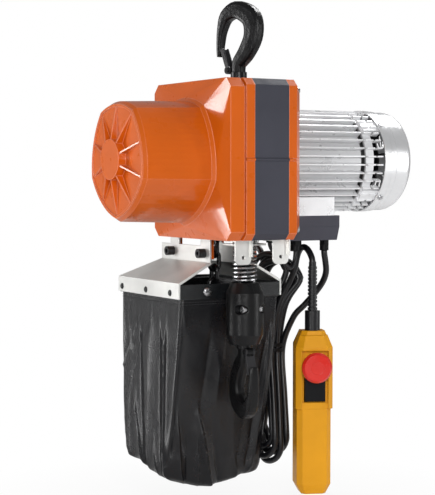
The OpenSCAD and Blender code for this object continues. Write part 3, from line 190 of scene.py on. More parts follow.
class Nodes:
    """A material's node tree with short ways to add to it."""

    def __init__(self, name):
        self.mat = bpy.data.materials.new(name)
        self.mat.use_nodes = True
        self.tree = self.mat.node_tree
        self.shader = self.tree.nodes["Principled BSDF"]
        self.coords = self.add("ShaderNodeTexCoord").outputs["Object"]

    def add(self, kind, inputs=(), **settings):
        return add_node(self.tree, kind, inputs, **settings)

    def set(self, **values):
        for key, value in values.items():
            self.shader.inputs[key.replace("_", " ")].default_value = value

    def join(self, output, socket):
        self.tree.links.new(output, self.shader.inputs[socket])

    def noise(self, scale, detail=3.0, rough=0.5, vector=None):
        return self.add("ShaderNodeTexNoise", {"Vector": vector or self.coords, "Scale": scale,
                                               "Detail": detail, "Roughness": rough}).outputs["Fac"]

    def span(self, value, low, high, out_low, out_high):
        return self.add("ShaderNodeMapRange", {"Value": value, "From Min": low, "From Max": high,
                                               "To Min": out_low, "To Max": out_high}).outputs["Result"]

    def blend(self, factor, a, b):
        node = self.tree.nodes.new("ShaderNodeMix")
        node.data_type = "RGBA"
        for index, value in ((0, factor), (6, a), (7, b)):
            if isinstance(value, bpy.types.NodeSocket):
                self.tree.links.new(value, node.inputs[index])
            elif index:
                node.inputs[index].default_value = (*value, 1)
            else:
                node.inputs[index].default_value = value
        return node.outputs[2]

    def maths(self, how, a, b=0.0, c=0.0):
        return self.add("ShaderNodeMath", {0: a, 1: b, 2: c}, operation=how).outputs[0]

    def reach(self, axes, middle):
        """How far a place lies from the middle, along two of the axes."""
        place = self.add("ShaderNodeSeparateXYZ", {0: self.coords}).outputs
        a, b = (self.maths("POWER", self.maths("ADD", place[axis], -m), 2.0) for axis, m in zip(axes, middle))
        return self.maths("SQRT", self.maths("ADD", a, b))

    def rounded(self, radius):
        return self.add("ShaderNodeBevel", {"Radius": radius}, samples=6).outputs["Normal"]

    def edges(self, round_normal):
        """1 on outer and inner edges, 0 on the flats."""
        flat = self.add("ShaderNodeNewGeometry").outputs["Normal"]
        same = self.add("ShaderNodeVectorMath", {0: round_normal, 1: flat}, operation="DOT_PRODUCT")
        return self.span(same.outputs["Value"], 0.995, 0.9, 0.0, 1.0)

    def bump(self, height, distance, strength=1.0, normal=None):
        inputs = {"Height": height, "Distance": distance, "Strength": strength}
        if normal is not None:
            inputs["Normal"] = normal
        return self.add("ShaderNodeBump", inputs).outputs["Normal"]


# the motor's axis in the frame, across and up, in metres
MOTOR_AXIS = (0.020, -0.190)
# the repeat of the bag's twill, in metres
TWILL_PITCH = 0.0017


def shade(colour, by):
    return tuple(min(max(c * by, 0), 1) for c in colour)


def painted(name, colour, roughness, grain, height, edge=0.0, wear_and_highlight=0.0, metal=0.0, coat=0.0, spread=0.1,
            gloss=0.3, fin_shade=None):
    """Paint or bare cast metal: a colour that drifts a little, a fine skin, rounded edges painted lighter as
    wear and as a painted highlight.

    The last argument paints shade into the gaps round the motor: two distances from the motor's axis, and how
    dark the painted shade is at the first of them."""
    n = Nodes(name)
    drift = n.noise(9.0, 3.0)
    tone = n.blend(n.span(drift, 0.3, 0.7, 0.0, 1.0), shade(colour, 1 - spread), shade(colour, 1 + spread))
    normal = None
    if edge:
        normal = n.rounded(edge)
        # the edges are painted lighter: partly wear, partly a painted highlight along rims and ribs
        if wear_and_highlight:
            tone = n.blend(n.maths("MULTIPLY", n.edges(normal), wear_and_highlight), tone,
                           shade(tuple(0.75 * c + 0.25 * max(colour) for c in colour), 1.8))
    # painted shade: darker towards the motor's axis, in the gaps between the fins and inside the end shield
    if fin_shade:
        fin_shade_mask = n.span(n.reach((1, 2), MOTOR_AXIS), fin_shade[0], fin_shade[1], 1.0, 0.0)
        tone = n.blend(fin_shade_mask, tone, shade(colour, fin_shade[2]))
    n.join(tone, "Base Color")
    n.join(n.span(n.noise(60.0, 4.0), 0.25, 0.75, roughness * 0.82, min(roughness * 1.2, 1)), "Roughness")
    n.join(n.bump(n.noise(grain, 3.0, 0.6), height, 0.8, normal), "Normal")
    n.set(Metallic=metal, Coat_Weight=coat, Coat_Roughness=0.08, Specular_IOR_Level=gloss)
    return n.mat


def brushed(name, colour, roughness, along, edge=0.0006, metal=1.0):
    """Drawn or rolled metal with fine lines along one axis."""
    n = Nodes(name)
    stretch = [900.0, 900.0, 900.0]
    stretch[along] = 25.0
    stretched = n.add("ShaderNodeMapping", {"Vector": n.coords, "Scale": stretch})
    lines = n.noise(1.0, 1.0, 0.5, stretched.outputs[0])
    drift = n.span(n.noise(14.0), 0.3, 0.7, 0, 1)
    n.join(n.blend(drift, shade(colour, 0.86), shade(colour, 1.1)), "Base Color")
    n.join(n.span(lines, 0.3, 0.7, roughness * 0.94, roughness * 1.07), "Roughness")
    n.join(n.bump(lines, 0.000003, 0.5, n.rounded(edge)), "Normal")
    n.set(Metallic=metal)
    return n.mat


def moulded(name, colour, roughness, grain=900.0, height=0.00012, edge=0.0008, coat=0.0, gloss=0.3):
    """Moulded plastic with a fine spark-eroded skin."""
    n = Nodes(name)
    drift = n.span(n.noise(22.0), 0.3, 0.7, 0, 1)
    n.join(n.blend(drift, shade(colour, 0.94), shade(colour, 1.05)), "Base Color")
    n.join(n.span(n.noise(120.0, 4.0), 0.3, 0.7, roughness * 0.88, min(1, roughness * 1.12)), "Roughness")
    n.join(n.bump(n.noise(grain, 2.0), height, 0.7, n.rounded(edge)), "Normal")
    n.set(Coat_Weight=coat, Coat_Roughness=0.2, Specular_IOR_Level=gloss)
    return n.mat


def rubber(name, colour, roughness):
    """Cable jacket, slightly dusty."""
    n = Nodes(name)
    n.join(n.blend(n.noise(40.0, 4.0), shade(colour, 0.7), shade(colour, 1.5)), "Base Color")
    n.join(n.span(n.noise(160.0, 3.0), 0.3, 0.7, roughness * 0.85, roughness * 1.15), "Roughness")
    n.join(n.bump(n.noise(1400.0, 2.0), 0.00008, 0.6), "Normal")
    n.set(Specular_IOR_Level=0.45)
    return n.mat


def cloth_weave(name, colour):
    """Coated nylon: a close twill in the cloth's own directions, cloudy in tone, with soft creases."""
    n = Nodes(name)
    uv = n.add("ShaderNodeTexCoord").outputs["UV"]
    parts = n.add("ShaderNodeSeparateXYZ", {0: uv})
    pitch = 2 * math.pi / TWILL_PITCH
    warp = n.maths("SINE", n.maths("MULTIPLY", n.maths("ADD", parts.outputs[0], parts.outputs[1]), pitch))
    weft = n.maths("SINE", n.maths("MULTIPLY", parts.outputs[1], pitch))
    weave = n.maths("ADD", n.maths("MULTIPLY", warp, 0.7), n.maths("MULTIPLY", weft, 0.3))
    cloud = n.noise(26.0, 5.0, 0.6)
    tone = n.blend(n.span(cloud, 0.35, 0.7, 0, 1), shade(colour, 0.6), shade(colour, 1.3))
    tone = n.blend(n.span(weave, -1, 1, 0.0, 0.45), tone, shade(colour, 2.2))
    n.join(tone, "Base Color")
    n.join(n.span(cloud, 0.3, 0.7, 0.2, 0.3), "Roughness")
    crease = n.bump(n.noise(55.0, 3.0, 0.5), 0.0003, 0.35)
    n.join(n.bump(weave, 0.00009, 0.9, normal=crease), "Normal")
    n.set(Specular_IOR_Level=0.42)
    return n.mat


FINISHES = {}
# parts whose finish differs from the rest of their material; the end shield's has a near-black painted shade
# inside it
OWN_FINISH = {"end_shield": "shield_casting", "fan_cover": "cover_sheet"}


def make_finishes(paint):
    orange, charcoal, silver = tuple(paint.orange), tuple(paint.charcoal), tuple(paint.silver)
    FINISHES.update({
        # in painted() the number after the edge rounding lightens the edges, as wear and as a painted
        # highlight
        "orange_casting": painted("orange_paint", orange, 0.3, 260.0, 0.00012, paint.edge, 0.6,
                                  coat=0.65, spread=0.06, gloss=0.15),
        "dark_casting": painted("charcoal_paint", charcoal, 0.5, 700.0, 0.0003, paint.edge, 0.35, gloss=0.15),
        # the motor frame gets painted shade in its fin gaps, and the end shield an almost black painted shade
        # between its ring and the cover
        "silver_casting": painted("silver_paint", silver, 0.3, 500.0, 0.0001, 0.0006, 0.2,
                                  metal=0.35, gloss=0.5, fin_shade=(0.0605, 0.0675, 0.68)),
        "shield_casting": painted("shield_paint", silver, 0.35, 500.0, 0.0001, 0.0006, 0.2,
                                  metal=0.2, gloss=0.5, fin_shade=(0.061, 0.067, 0.03)),
        "cover_sheet": painted("cover_sheet", (0.88, 0.885, 0.90), 0.22, 40.0, 0.0003, 0.001, 0.1,
                               metal=0.65, spread=0.03, gloss=0.5),
        "silver_sheet": brushed("zinc_sheet", (0.79, 0.79, 0.765), 0.32, 1, metal=0.62),
        "steel": brushed("turned_steel", (0.46, 0.46, 0.47), 0.28, 0),
        "dark_steel": painted("black_oxide", (0.008, 0.008, 0.009), 0.34, 900.0, 0.0001, 0.0005, 0.4,
                              gloss=0.35),
        "black_forging": painted("forging_paint", (0.0045, 0.0045, 0.005), 0.3, 160.0, 0.0005, 0.0012, 0.9,
                                 gloss=0.28),
        "grey_latch": painted("grey_zinc", (0.022, 0.022, 0.024), 0.36, 600.0, 0.0001, 0.0005, 0.5,
                              gloss=0.4),
        "black_chain": painted("chain_black", (0.006, 0.006, 0.007), 0.24, 500.0, 0.0002, gloss=0.5),
        "red_winding": painted("varnished_winding", (0.25, 0.05, 0.02), 0.4, 300.0, 0.0004),
        "brake_lining": painted("brake_lining", (0.10, 0.06, 0.035), 0.8, 700.0, 0.0004),
        "black_plastic": moulded("black_nylon", (0.005, 0.005, 0.006), 0.42, gloss=0.15),
        "grey_plastic": moulded("grey_box", (0.062, 0.062, 0.078), 0.5, 500.0, 0.0003, gloss=0.15),
        "ivory_plastic": moulded("ivory_plastic", (0.60, 0.56, 0.44), 0.5),
        "black_frame": painted("frame_powder", (0.008, 0.009, 0.010), 0.2, 800.0, 0.0002, 0.0014, 1.0,
                               gloss=0.6),
        "black_fabric": cloth_weave("coated_nylon", (0.005, 0.005, 0.0062)),
        "yellow_plastic": moulded("yellow_shell", tuple(paint.yellow), 0.4, 700.0, 0.00015, 0.0018,
                                  gloss=0.22),
        "red_plastic": moulded("stop_red", tuple(paint.red), 0.25, 300.0, 0.00004, 0.0012, coat=0.4),
        "black_rubber": rubber("cable_rubber", (0.0045, 0.0045, 0.006), 0.34),
        "thread_grey": moulded("thread_grey", (0.05, 0.05, 0.052), 0.7),
    })


# ------------------------------------------------------------------ mesh helpers

def finish_piece(obj, body, slot_name, finish=None):
    """Shade one piece, mount it on its body and give it its slot."""
    if obj.type == "MESH":
        obj.data.materials.clear()
        obj.data.materials.append(FINISHES[finish or slot_name])
    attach(obj, body)
    return obj


def new_mesh(name, verts, faces=(), smooth_faces=True, edges=()):
    """An object with a new mesh, in the scene."""
    mesh = bpy.data.meshes.new(name)
    mesh.from_pydata([tuple(v) for v in verts], edges, faces)
    mesh.update()
    if smooth_faces:
        mesh.polygons.foreach_set("use_smooth", [True] * len(mesh.polygons))
    obj = bpy.data.objects.new(name, mesh)
    bpy.context.scene.collection.objects.link(obj)
    return obj


def outward(obj):
    """Join the doubled corners of a mesh and turn its faces outwards."""
    bm = bmesh.new()
    bm.from_mesh(obj.data)
    bmesh.ops.remove_doubles(bm, verts=bm.verts, dist=1e-6)
    bmesh.ops.recalc_face_normals(bm, faces=bm.faces)
    bm.to_mesh(obj.data)
    bm.free()


def tube_mesh(name, points, radius, sides=12):
    """A round tube along the points, with UVs round and along it, closed at both ends."""
    side = Vector((0.31, 0.87, 0.37))
    verts, n = [], len(points)
    for i, p in enumerate(points):
        t = (points[min(i + 1, n - 1)] - points[max(i - 1, 0)]).normalized()
        side = (side - t * side.dot(t)).normalized()
        other = t.cross(side)
        for k in range(sides):
            a = 2 * math.pi * k / sides
            verts.append(p + radius * (math.cos(a) * side + math.sin(a) * other))
    faces = []
    for i in range(n - 1):
        for k in range(sides):
            a, b = i * sides + k, i * sides + (k + 1) % sides
            faces.append((a, b, b + sides, a + sides))
    faces.append(tuple(reversed(range(sides))))
    faces.append(tuple((n - 1) * sides + k for k in range(sides)))
    return new_mesh(name, verts, faces)


def bake_nodes(obj, name):
    """Turn the object's modifier stack into a plain mesh."""
    graph = bpy.context.evaluated_depsgraph_get()
    mesh = bpy.data.meshes.new_from_object(obj.evaluated_get(graph))
    obj.modifiers.clear()
    obj.data = mesh
    mesh.name = name
    return obj


class Tree:
    """A geometry node tree with named inputs."""

    def __init__(self, name):
        self.tree = bpy.data.node_groups.new(name, "GeometryNodeTree")
        self.tree.interface.new_socket("Geometry", in_out="INPUT", socket_type="NodeSocketGeometry")
        self.tree.interface.new_socket("Geometry", in_out="OUTPUT", socket_type="NodeSocketGeometry")
        self.ids = {}
        self.start = self.tree.nodes.new("NodeGroupInput")
        self.end = self.tree.nodes.new("NodeGroupOutput")

    def value(self, name, kind="NodeSocketFloat"):
        item = self.tree.interface.new_socket(name, in_out="INPUT", socket_type=kind)
        self.ids[name] = item.identifier
        return self.start.outputs[name]

    def add(self, kind, inputs=(), **settings):
        return add_node(self.tree, kind, inputs, **settings)

    def close(self, geometry, material):
        real = self.add("GeometryNodeRealizeInstances", {0: geometry})
        painted_out = self.add("GeometryNodeSetMaterial", {"Geometry": real.outputs[0], "Material": material})
        self.tree.links.new(painted_out.outputs[0], self.end.inputs[0])

    def run(self, obj, name, **values):
        mod = obj.modifiers.new(name, "NODES")
        mod.node_group = self.tree
        for key, value in values.items():
            mod[self.ids[key.replace("_", " ")]] = value
        return bake_nodes(obj, name)


def aimed_points(name, places):
    """A cloud of points, each with the way it faces."""
    obj = new_mesh(name, [p for p, _ in places])
    aim = obj.data.attributes.new("aim", "FLOAT_VECTOR", "POINT")
    for i, (_, direction) in enumerate(places):
        aim.data[i].vector = Vector(direction).normalized()
    return obj


def pan_head_screws():
    """Domed screw heads with a cross recess, one on each point."""
    t = Tree("pan_head_screws")
    radius, height = t.value("Radius"), t.value("Height")
    material = t.value("Finish", "NodeSocketMaterial")
    turn = t.value("Turn")
    ball = t.add("GeometryNodeMeshUVSphere", {"Segments": 20, "Rings": 10, "Radius": 1.0})
    scale = t.add("ShaderNodeCombineXYZ", {0: radius, 1: radius, 2: height})
    dome = t.add("GeometryNodeTransform", {"Geometry": ball.outputs[0], "Scale": scale.outputs[0]})
    long, thin, deep = (t.add("ShaderNodeMath", {0: size, 1: share}, operation="MULTIPLY")
                        for size, share in ((radius, 1.15), (radius, 0.24), (height, 1.1)))
    bars = []
    for a, b in ((long, thin), (thin, long)):
        size = t.add("ShaderNodeCombineXYZ", {0: a.outputs[0], 1: b.outputs[0], 2: deep.outputs[0]})
        bar = t.add("GeometryNodeMeshCube", {"Size": size.outputs[0]})
        lift = t.add("ShaderNodeCombineXYZ", {2: height})
        bars.append(t.add("GeometryNodeTransform", {"Geometry": bar.outputs[0],
                                                    "Translation": lift.outputs[0]}))
    cut = t.add("GeometryNodeMeshBoolean", {0: dome.outputs[0]}, operation="DIFFERENCE")
    for bar in bars:
        t.tree.links.new(bar.outputs[0], cut.inputs[1])
    spin = t.add("ShaderNodeCombineXYZ", {2: turn})
    head = t.add("GeometryNodeTransform", {"Geometry": cut.outputs[0], "Rotation": spin.outputs[0]})
    aim = t.add("GeometryNodeInputNamedAttribute", {"Name": "aim"}, data_type="FLOAT_VECTOR")
    turned = t.add("FunctionNodeAlignRotationToVector", {"Vector": aim.outputs[0]}, axis="Z")
    spread = t.add("GeometryNodeInstanceOnPoints", {"Points": t.start.outputs[0], "Instance": head.outputs[0],
                                                    "Rotation": turned.outputs[0]})
    t.close(spread.outputs[0], material)
    return t


def stitch_rows():
    """Short round stitches end to end along each edge line of the input."""
    t = Tree("stitch_rows")
    pitch, thick = t.value("Pitch"), t.value("Thickness")
    material = t.value("Finish", "NodeSocketMaterial")
    curve = t.add("GeometryNodeMeshToCurve", {"Mesh": t.start.outputs[0]})
    spaced = t.add("GeometryNodeResampleCurve", {"Curve": curve.outputs[0], "Length": pitch}, mode="LENGTH")
    points = t.add("GeometryNodeCurveToPoints", {"Curve": spaced.outputs[0]}, mode="EVALUATED")
    ball = t.add("GeometryNodeMeshUVSphere", {"Segments": 8, "Rings": 6, "Radius": 1.0})
    half = t.add("ShaderNodeMath", {0: pitch, 1: 0.36}, operation="MULTIPLY")
    scale = t.add("ShaderNodeCombineXYZ", {0: thick, 1: thick, 2: half.outputs[0]})
    bead = t.add("GeometryNodeTransform", {"Geometry": ball.outputs[0], "Scale": scale.outputs[0]})
    aim = t.add("FunctionNodeAlignRotationToVector", {"Vector": points.outputs["Tangent"]}, axis="Z")
    row = t.add("GeometryNodeInstanceOnPoints", {"Points": points.outputs[0], "Instance": bead.outputs[0],
                                                 "Rotation": aim.outputs[0]})
    t.close(row.outputs[0], material)
    return t


def screws(name, places, radius, height, body, slot_name, turn=0.4):
    """One piece with a screw head at each place, which is a point and the way it faces."""
    obj = aimed_points(name, places)
    obj = pan_head_screws().run(obj, name, Radius=radius, Height=height, Finish=FINISHES[slot_name],
                                Turn=turn)
    return finish_piece(obj, body, slot_name)


# ------------------------------------------------------------------ places taken from the drawing

GLAND_Z = -122.5

# Ends of the cables outside the hank, in the drawing's millimetres, the same as the solids'
CONTROL_START = [(128, -8, GLAND_Z), (128, -8, -129.5), (128, -5.5, -142), (127.5, 0, -155), (127, 10, -170),
                 (125, 15, -186)]
PENDANT_END = [(141, 17, -172), (142.5, 19, -158), (143, 18, -145), (143, 13, -132), (142, 4, -123),
               (141, -7, -120.5), (140.4, -17, -124), (140.4, -25, -132), (140.4, -28.2, -139),
               (140.4, -28.5, -147.5)]
POWER_START = [(160, -28, GLAND_Z), (160.3, -28, -129.5), (163.5, -26.5, -142), (168, -21, -156),
               (169.5, -10, -171), (163.5, 2, -188), (152, 10, -204), (138, 16, -220)]
PLUG_END = [(127, 79, -146), (126.5, 85, -131), (125.5, 95, -123.5), (123.5, 107, -125.5), (121, 114.5, -137),
            (119.5, 117.5, -154), (118, 118, -180), (118, 118, -223)]
LIMIT_LEAD = [(112, -28, GLAND_Z), (112, -28, -129), (108.8, -30, -140), (101, -33.5, -147),
              (91.5, -36.7, -142.5), (81, -39.5, -133), (72, -41.2, -126.5), (65.5, -42, -121),
              (62, -42, -114), (62, -42, -107.5)]
# The hank: its middle across and in depth, the height of its ties, and how far apart its columns of turns
# lie at the ties, at the foot and over the top
HANK_X, HANK_Y, TIE_Z = 121, 46, -266
TIE_STEP, FOOT_STEP, TOP_STEP = 9, 9.2, 12
# half the width of an outer and of an inner turn of the hank, at its foot and over its top
WIDE, NARROW, TOP_WIDE, TOP_NARROW = 33.6, 25.0, 33, 25


def hank_turns(first, turns):
    """Turns of the tied hank, from the tie down and round: each turn has its own upright plane."""
    pts = []
    for k in range(first, first + turns):
        column, inner = k // 2, k % 2
        reach = NARROW if inner else WIDE
        x_tie, y_tie = HANK_X + TIE_STEP * (column - 1), 4.5 if inner else 13.5
        x_low = 115 + FOOT_STEP * (column - 1)
        base = -391.5 + (5, -3, 9)[column] + (6 if inner else 0)
        middle = (x_tie + x_low) / 2
        pts.append((x_tie, HANK_Y - y_tie, TIE_Z))
        pts.append((middle, HANK_Y - (y_tie + reach) / 2, -330))
        for step in range(0, 9):
            a = math.pi * step / 8
            pts.append((x_low + 1.5 * math.sin(3 * a), HANK_Y - reach * math.cos(a),
                        base - reach * math.sin(a)))
        pts.append((middle, HANK_Y + (y_tie + reach) / 2, -330))
        pts.append((x_tie, HANK_Y + y_tie, TIE_Z))
        if k < first + turns - 1:
            outs = (TOP_NARROW, TOP_WIDE) if inner else (TOP_WIDE, TOP_NARROW)
            pts.extend(top_bend(column, (k + 1) // 2, outs, -160 - 5 * ((k * 2) % 3)))
    return pts


def top_bend(col_a, col_b, outs, height):
    """Points over the top of the hank, from the rising run of one turn to the falling run of the next."""
    xa, xb = 131 + TOP_STEP * (col_a - 1), 131 + TOP_STEP * (col_b - 1)
    pts = [((HANK_X + TIE_STEP * (col_a - 1) + xa) / 2 + 3, HANK_Y + outs[0] * 0.62, -205)]
    for step in range(0, 9):
        a = math.pi * step / 8
        s = (1 - math.cos(a)) / 2
        reach = outs[0] - (outs[1] + outs[0]) * s
        pts.append((xa + (xb - xa) * s - 0.35 * reach, HANK_Y + reach, height + 28 * math.sin(a)))
    pts.append(((HANK_X + TIE_STEP * (col_b - 1) + xb) / 2 - 3, HANK_Y - outs[1] * 0.62, -205))
    return pts


def control_line():
    head = CONTROL_START[:-1] + [(117, 24, -205)]
    body = hank_turns(0, 4)
    tail = [(126, 52, -215), (138, 40, -195)] + PENDANT_END
    return head + body + tail


def power_line():
    head = POWER_START[:-1] + [(140, 20, -222)]
    body = hank_turns(4, 2)
    tail = [(130, 56, -215), (128, 69, -180)] + PLUG_END
    return head + body + tail


# ------------------------------------------------------------------ operators

class HOIST_OT_paint(bpy.types.Operator):
    """Paint every part of the hoist that is shown as drawn"""
    bl_idname = "hoist.paint"
    bl_label = "Paint the castings and steel"

    def execute(self, context):
        make_finishes(context.scene.hoist_paint)
        slots = {s["node"]: s["material_slot"] for s in frame["record"]["subparts"]}
        for node, obj in frame["nodes"].items():
            for place in obj.material_slots:
                place.material = FINISHES[OWN_FINISH.get(node, slots[node])]
        return {"FINISHED"}


# Folds of the cloth on each side of the bag. One fold is a line down the side: how far along it starts and
# ends, the heights of its two ends, its width before and after the crest, and how far it stands out, all but
# the first two in millimetres. The front runs from left to right, the left side from the rear to the front.
FOLDS = {
    "front": [(0.28, 0.50, -335, -446, 12, 3.0, 11.0), (0.29, 0.35, -375, -446, 10, 3.0, 8.5),
              (0.20, 0.25, -360, -446, 10, 10, -5.0), (0.42, 0.60, -350, -446, 5, 12, -4.0),
              (0.08, 0.17, -345, -446, 15, 7.0, 9.0), (0.03, 0.04, -205, -400, 17, 20, -8.0),
              (0.95, 0.89, -215, -428, 3.0, 8.0, 6.0), (0.90, 0.85, -230, -420, 7.0, 4.0, -4.0),
              (0.97, 0.99, -390, -446, 5.0, 4.0, 4.0), (0.34, 0.30, -205, -360, 34, 22, -4.0),
              (0.62, 0.66, -235, -400, 24, 40, 4.0), (0.78, 0.74, -260, -420, 20, 15, -3.0),
              (0.48, 0.44, -215, -330, 10, 16, 2.5), (0.68, 0.80, -395, -446, 9, 4, 3.5)],
    "left": [(0.36, 0.03, -200, -296, 8, 4.0, 4.5), (0.42, 0.10, -210, -330, 4, 9, -3.5),
             (0.33, 0.50, -225, -432, 4.0, 5.0, -7.5), (0.27, 0.44, -318, -432, 8.0, 4.0, 5.0),
             (0.52, 0.60, -192, -436, 20, 20, 6.0), (0.66, 0.90, -192, -440, 4.0, 6.0, -6.0),
             (0.76, 0.97, -194, -440, 5.0, 3.5, 5.5), (0.17, 0.12, -300, -440, 16, 8, 3.5),
             (0.08, 0.20, -195, -260, 10, 10, -3.0), (0.70, 0.80, -380, -444, 6, 4, 3.0)],
    "right": [(0.10, 0.06, -200, -430, 5, 9, 5.0), (0.24, 0.30, -215, -440, 6, 14, -5.0),
              (0.42, 0.36, -195, -400, 18, 12, 5.0), (0.58, 0.66, -240, -440, 5, 9, -6.0),
              (0.75, 0.70, -195, -420, 12, 6, 5.0), (0.90, 0.84, -300, -444, 5, 5, 4.5)],
    "rear": [(0.15, 0.20, -200, -430, 9, 5, 5.0), (0.35, 0.30, -230, -440, 6, 10, -5.0),
             (0.55, 0.62, -195, -420, 16, 12, 5.0), (0.78, 0.72, -260, -440, 5, 8, -5.0),
             (0.90, 0.93, -200, -400, 5, 8, 4.0)],
}
# points along each side of the bag and round each corner
SIDES = (("front", 104), ("right", 84), ("rear", 64), ("left", 108))
CORNER = 6
# left, right, front and rear of the bag's frame
BAG_SIDES = (-55.5, 98.5, -5.5, 172.5)
# Outlines of the bag down its height: the height, how far each of the four sides lies from the frame's, and
# the radius of the corners
OUTLINES = [(-171, 0.6, -0.6, 0.6, -0.6, 4), (-189, 0.6, -0.6, 0.6, -0.6, 4), (-198, -0.5, 0.5, 1, -0.5, 5),
            (-245, -2, 0, 9, 0, 6), (-290, -3, -0.5, 18, 0, 7), (-350, -4, -2, 29, -3, 8),
            (-405, -4, -3, 39, -8, 8), (-428, -2, -6, 43, -12, 8), (-437, 5, -12, 49, -18, 9),
            (-442.5, 24, -30, 68, -36, 12), (-444.5, 55, -62, 92, -66, 8)]
# the depth of folds that FOLDS is written for, and the thickness of the cloth, in metres
FULL_WRINKLE = 0.0036
CLOTH = 0.0011
# The settling of the cloth: frames run, passes that smooth it, and the furthest a point may move, in metres
SETTLE_FRAMES, SMOOTHING, SETTLE_CAP = 14, 8, 0.0045


def bag_ring(x0, x1, y0, y1, r):
    """Points round the bag, as many on a side at every height: place, outward way, side and share of it."""
    lengths = {"front": x1 - x0, "rear": x1 - x0, "left": y1 - y0, "right": y1 - y0}
    turns = {"front": (x0, y0, 1, 0), "right": (x1, y0, 0, 1),
             "rear": (x1, y1, -1, 0), "left": (x0, y1, 0, -1)}
    out = []
    for name, count in SIDES:
        px, py, dx, dy = turns[name]
        nx, ny = dy, -dx
        length = lengths[name]
        for k in range(count):
            d = r + (length - 2 * r) * k / count
            out.append((px + dx * d, py + dy * d, nx, ny, name, d / length))
        cx, cy = px + dx * (length - r) - nx * r, py + dy * (length - r) - ny * r
        for k in range(CORNER):
            t = math.pi / 2 * k / CORNER
            ox, oy = nx * math.cos(t) + dx * math.sin(t), ny * math.cos(t) + dy * math.sin(t)
            out.append((cx + ox * r, cy + oy * r, ox, oy, name, (length - r + r * t * 0.6) / length))
    return out


def ease(t):
    """0 below 0, 1 above 1 and a soft step between."""
    t = min(max(t, 0.0), 1.0)
    return t * t * (3 - 2 * t)


def fold_push(side, share, z, length):
    """How far the folds make the cloth stand out at a place, in millimetres."""
    push = 0.0
    for near, far, top, low, before, after, depth in FOLDS[side]:
        if not low - 12 < z < top + 12:
            continue
        t = max((top - z) / (top - low), 0.0)
        crest = near + (far - near) * t ** 1.15
        d = (share - crest) * length
        shape = math.exp(-abs(d) / (before if d < 0 else after) * 1.25)
        ends = ease((top - z + 12) / 45), ease((z - low + 12) / 16)
        push += depth * (0.75 * shape + 0.25 * shape * shape) * ends[0] * ends[1]
    return push


def foot_lift(x, y):
    """How far the foot of the bag is raised at a place, in millimetres."""
    rear, front = ease((y - 45) / 100), ease((110 - y) / 60)
    left = ease((25 - x) / 70)
    middle = max(0.0, 1 - ((x - 6) / 62) ** 2)
    return 19 * rear * left + 7 * front * left - 11 * front * middle


def slack(place, z):
    """How far the loose cloth drifts and creases at a place, in millimetres before its scale."""
    drift = noise.noise(Vector((place.x * 14, place.y * 14, z / 90)))
    crush = noise.noise(Vector((place.x * 46 + 3.1, place.y * 46, z / 60)))
    ridge = Vector((place.x * 30 + 8, place.y * 30 - 5, z / 46 + (place.x - place.y) * 9))
    crease = 1 - abs(noise.noise(ridge))
    return 0.7 * drift + 0.35 * crush + 0.8 * (crease ** 4 - 0.5)


class HOIST_OT_bag(bpy.types.Operator):
    """Sew the chain bag: a tapered cloth sack with upright folds and a sagging floor"""
    bl_idname = "hoist.bag"
    bl_label = "Chain bag"

    def execute(self, context):
        bag = context.scene.hoist_bag
        x0, x1, y0, y1 = BAG_SIDES
        rings = [(z, x0 + left, x1 + right, y0 + front, y1 + rear, r)
                 for z, left, right, front, rear, r in OUTLINES]
        steps = 8
        table = smooth([Vector(r[:3]) for r in rings], steps), smooth([Vector(r[3:]) for r in rings], steps)
        verts, uvs = [], []
        run = 0.0
        for level, (a, b) in enumerate(zip(*table)):
            z, lo_x, hi_x = a
            lo_y, hi_y, r = b
            free = ease((-z - 192) / 60) * (1 - 0.65 * ease((-z - 436) / 7))
            if level:
                run += (a - table[0][level - 1]).length * 0.55 + abs(z - table[0][level - 1][0]) * 0.45
            ring = bag_ring(lo_x, hi_x, lo_y, hi_y, r)
            around = len(ring)
            for k, (x, y, nx, ny, side, share) in enumerate(ring):
                length = hi_x - lo_x if side in ("front", "rear") else hi_y - lo_y
                push = fold_push(side, share, z, length) * bag.wrinkle / FULL_WRINKLE
                push += 0.9 * slack(at(x, y, z), z)
                low = z + foot_lift(x, y) * ease((-z - 330) / 105)
                verts.append(at(x + nx * push * free, y + ny * push * free, low))
                uvs.append((k / around, run / 1000))
        count = len(table[0])
        faces = []
        for i in range(count - 1):
            for k in range(around):
                a, b = i * around + k, i * around + (k + 1) % around
                faces.append((a, a + around, b + around, b))
        last = [(count - 1) * around + k for k in range(around)]
        middle = sum((verts[i] for i in last), Vector()) / around
        verts.append(middle)
        uvs.append((0.45, run / 1000 + 0.02))
        faces.extend((last[k], len(verts) - 1, last[(k + 1) % around]) for k in range(around))
        obj = new_mesh("bag_cloth", verts, faces)
        layer = obj.data.uv_layers.new(name="weave")
        # the last column of faces closes the ring, so its UVs run on past the end and don't jump back
        for poly in obj.data.polygons:
            high = any(obj.data.loops[i].vertex_index % around == around - 1 for i in poly.loop_indices)
            for i in poly.loop_indices:
                v = obj.data.loops[i].vertex_index
                u = uvs[v][0] * 0.66
                if high and v % around == 0 and v < count * around:
                    u += 0.66
                layer.data[i].uv = (u, uvs[v][1])
        drape(obj, around, count)
        shell = obj.modifiers.new("wall", "SOLIDIFY")
        shell.thickness, shell.offset = CLOTH, -1
        finish_piece(obj, "case", "black_fabric")
        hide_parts("chain_bag")
        return {"FINISHED"}


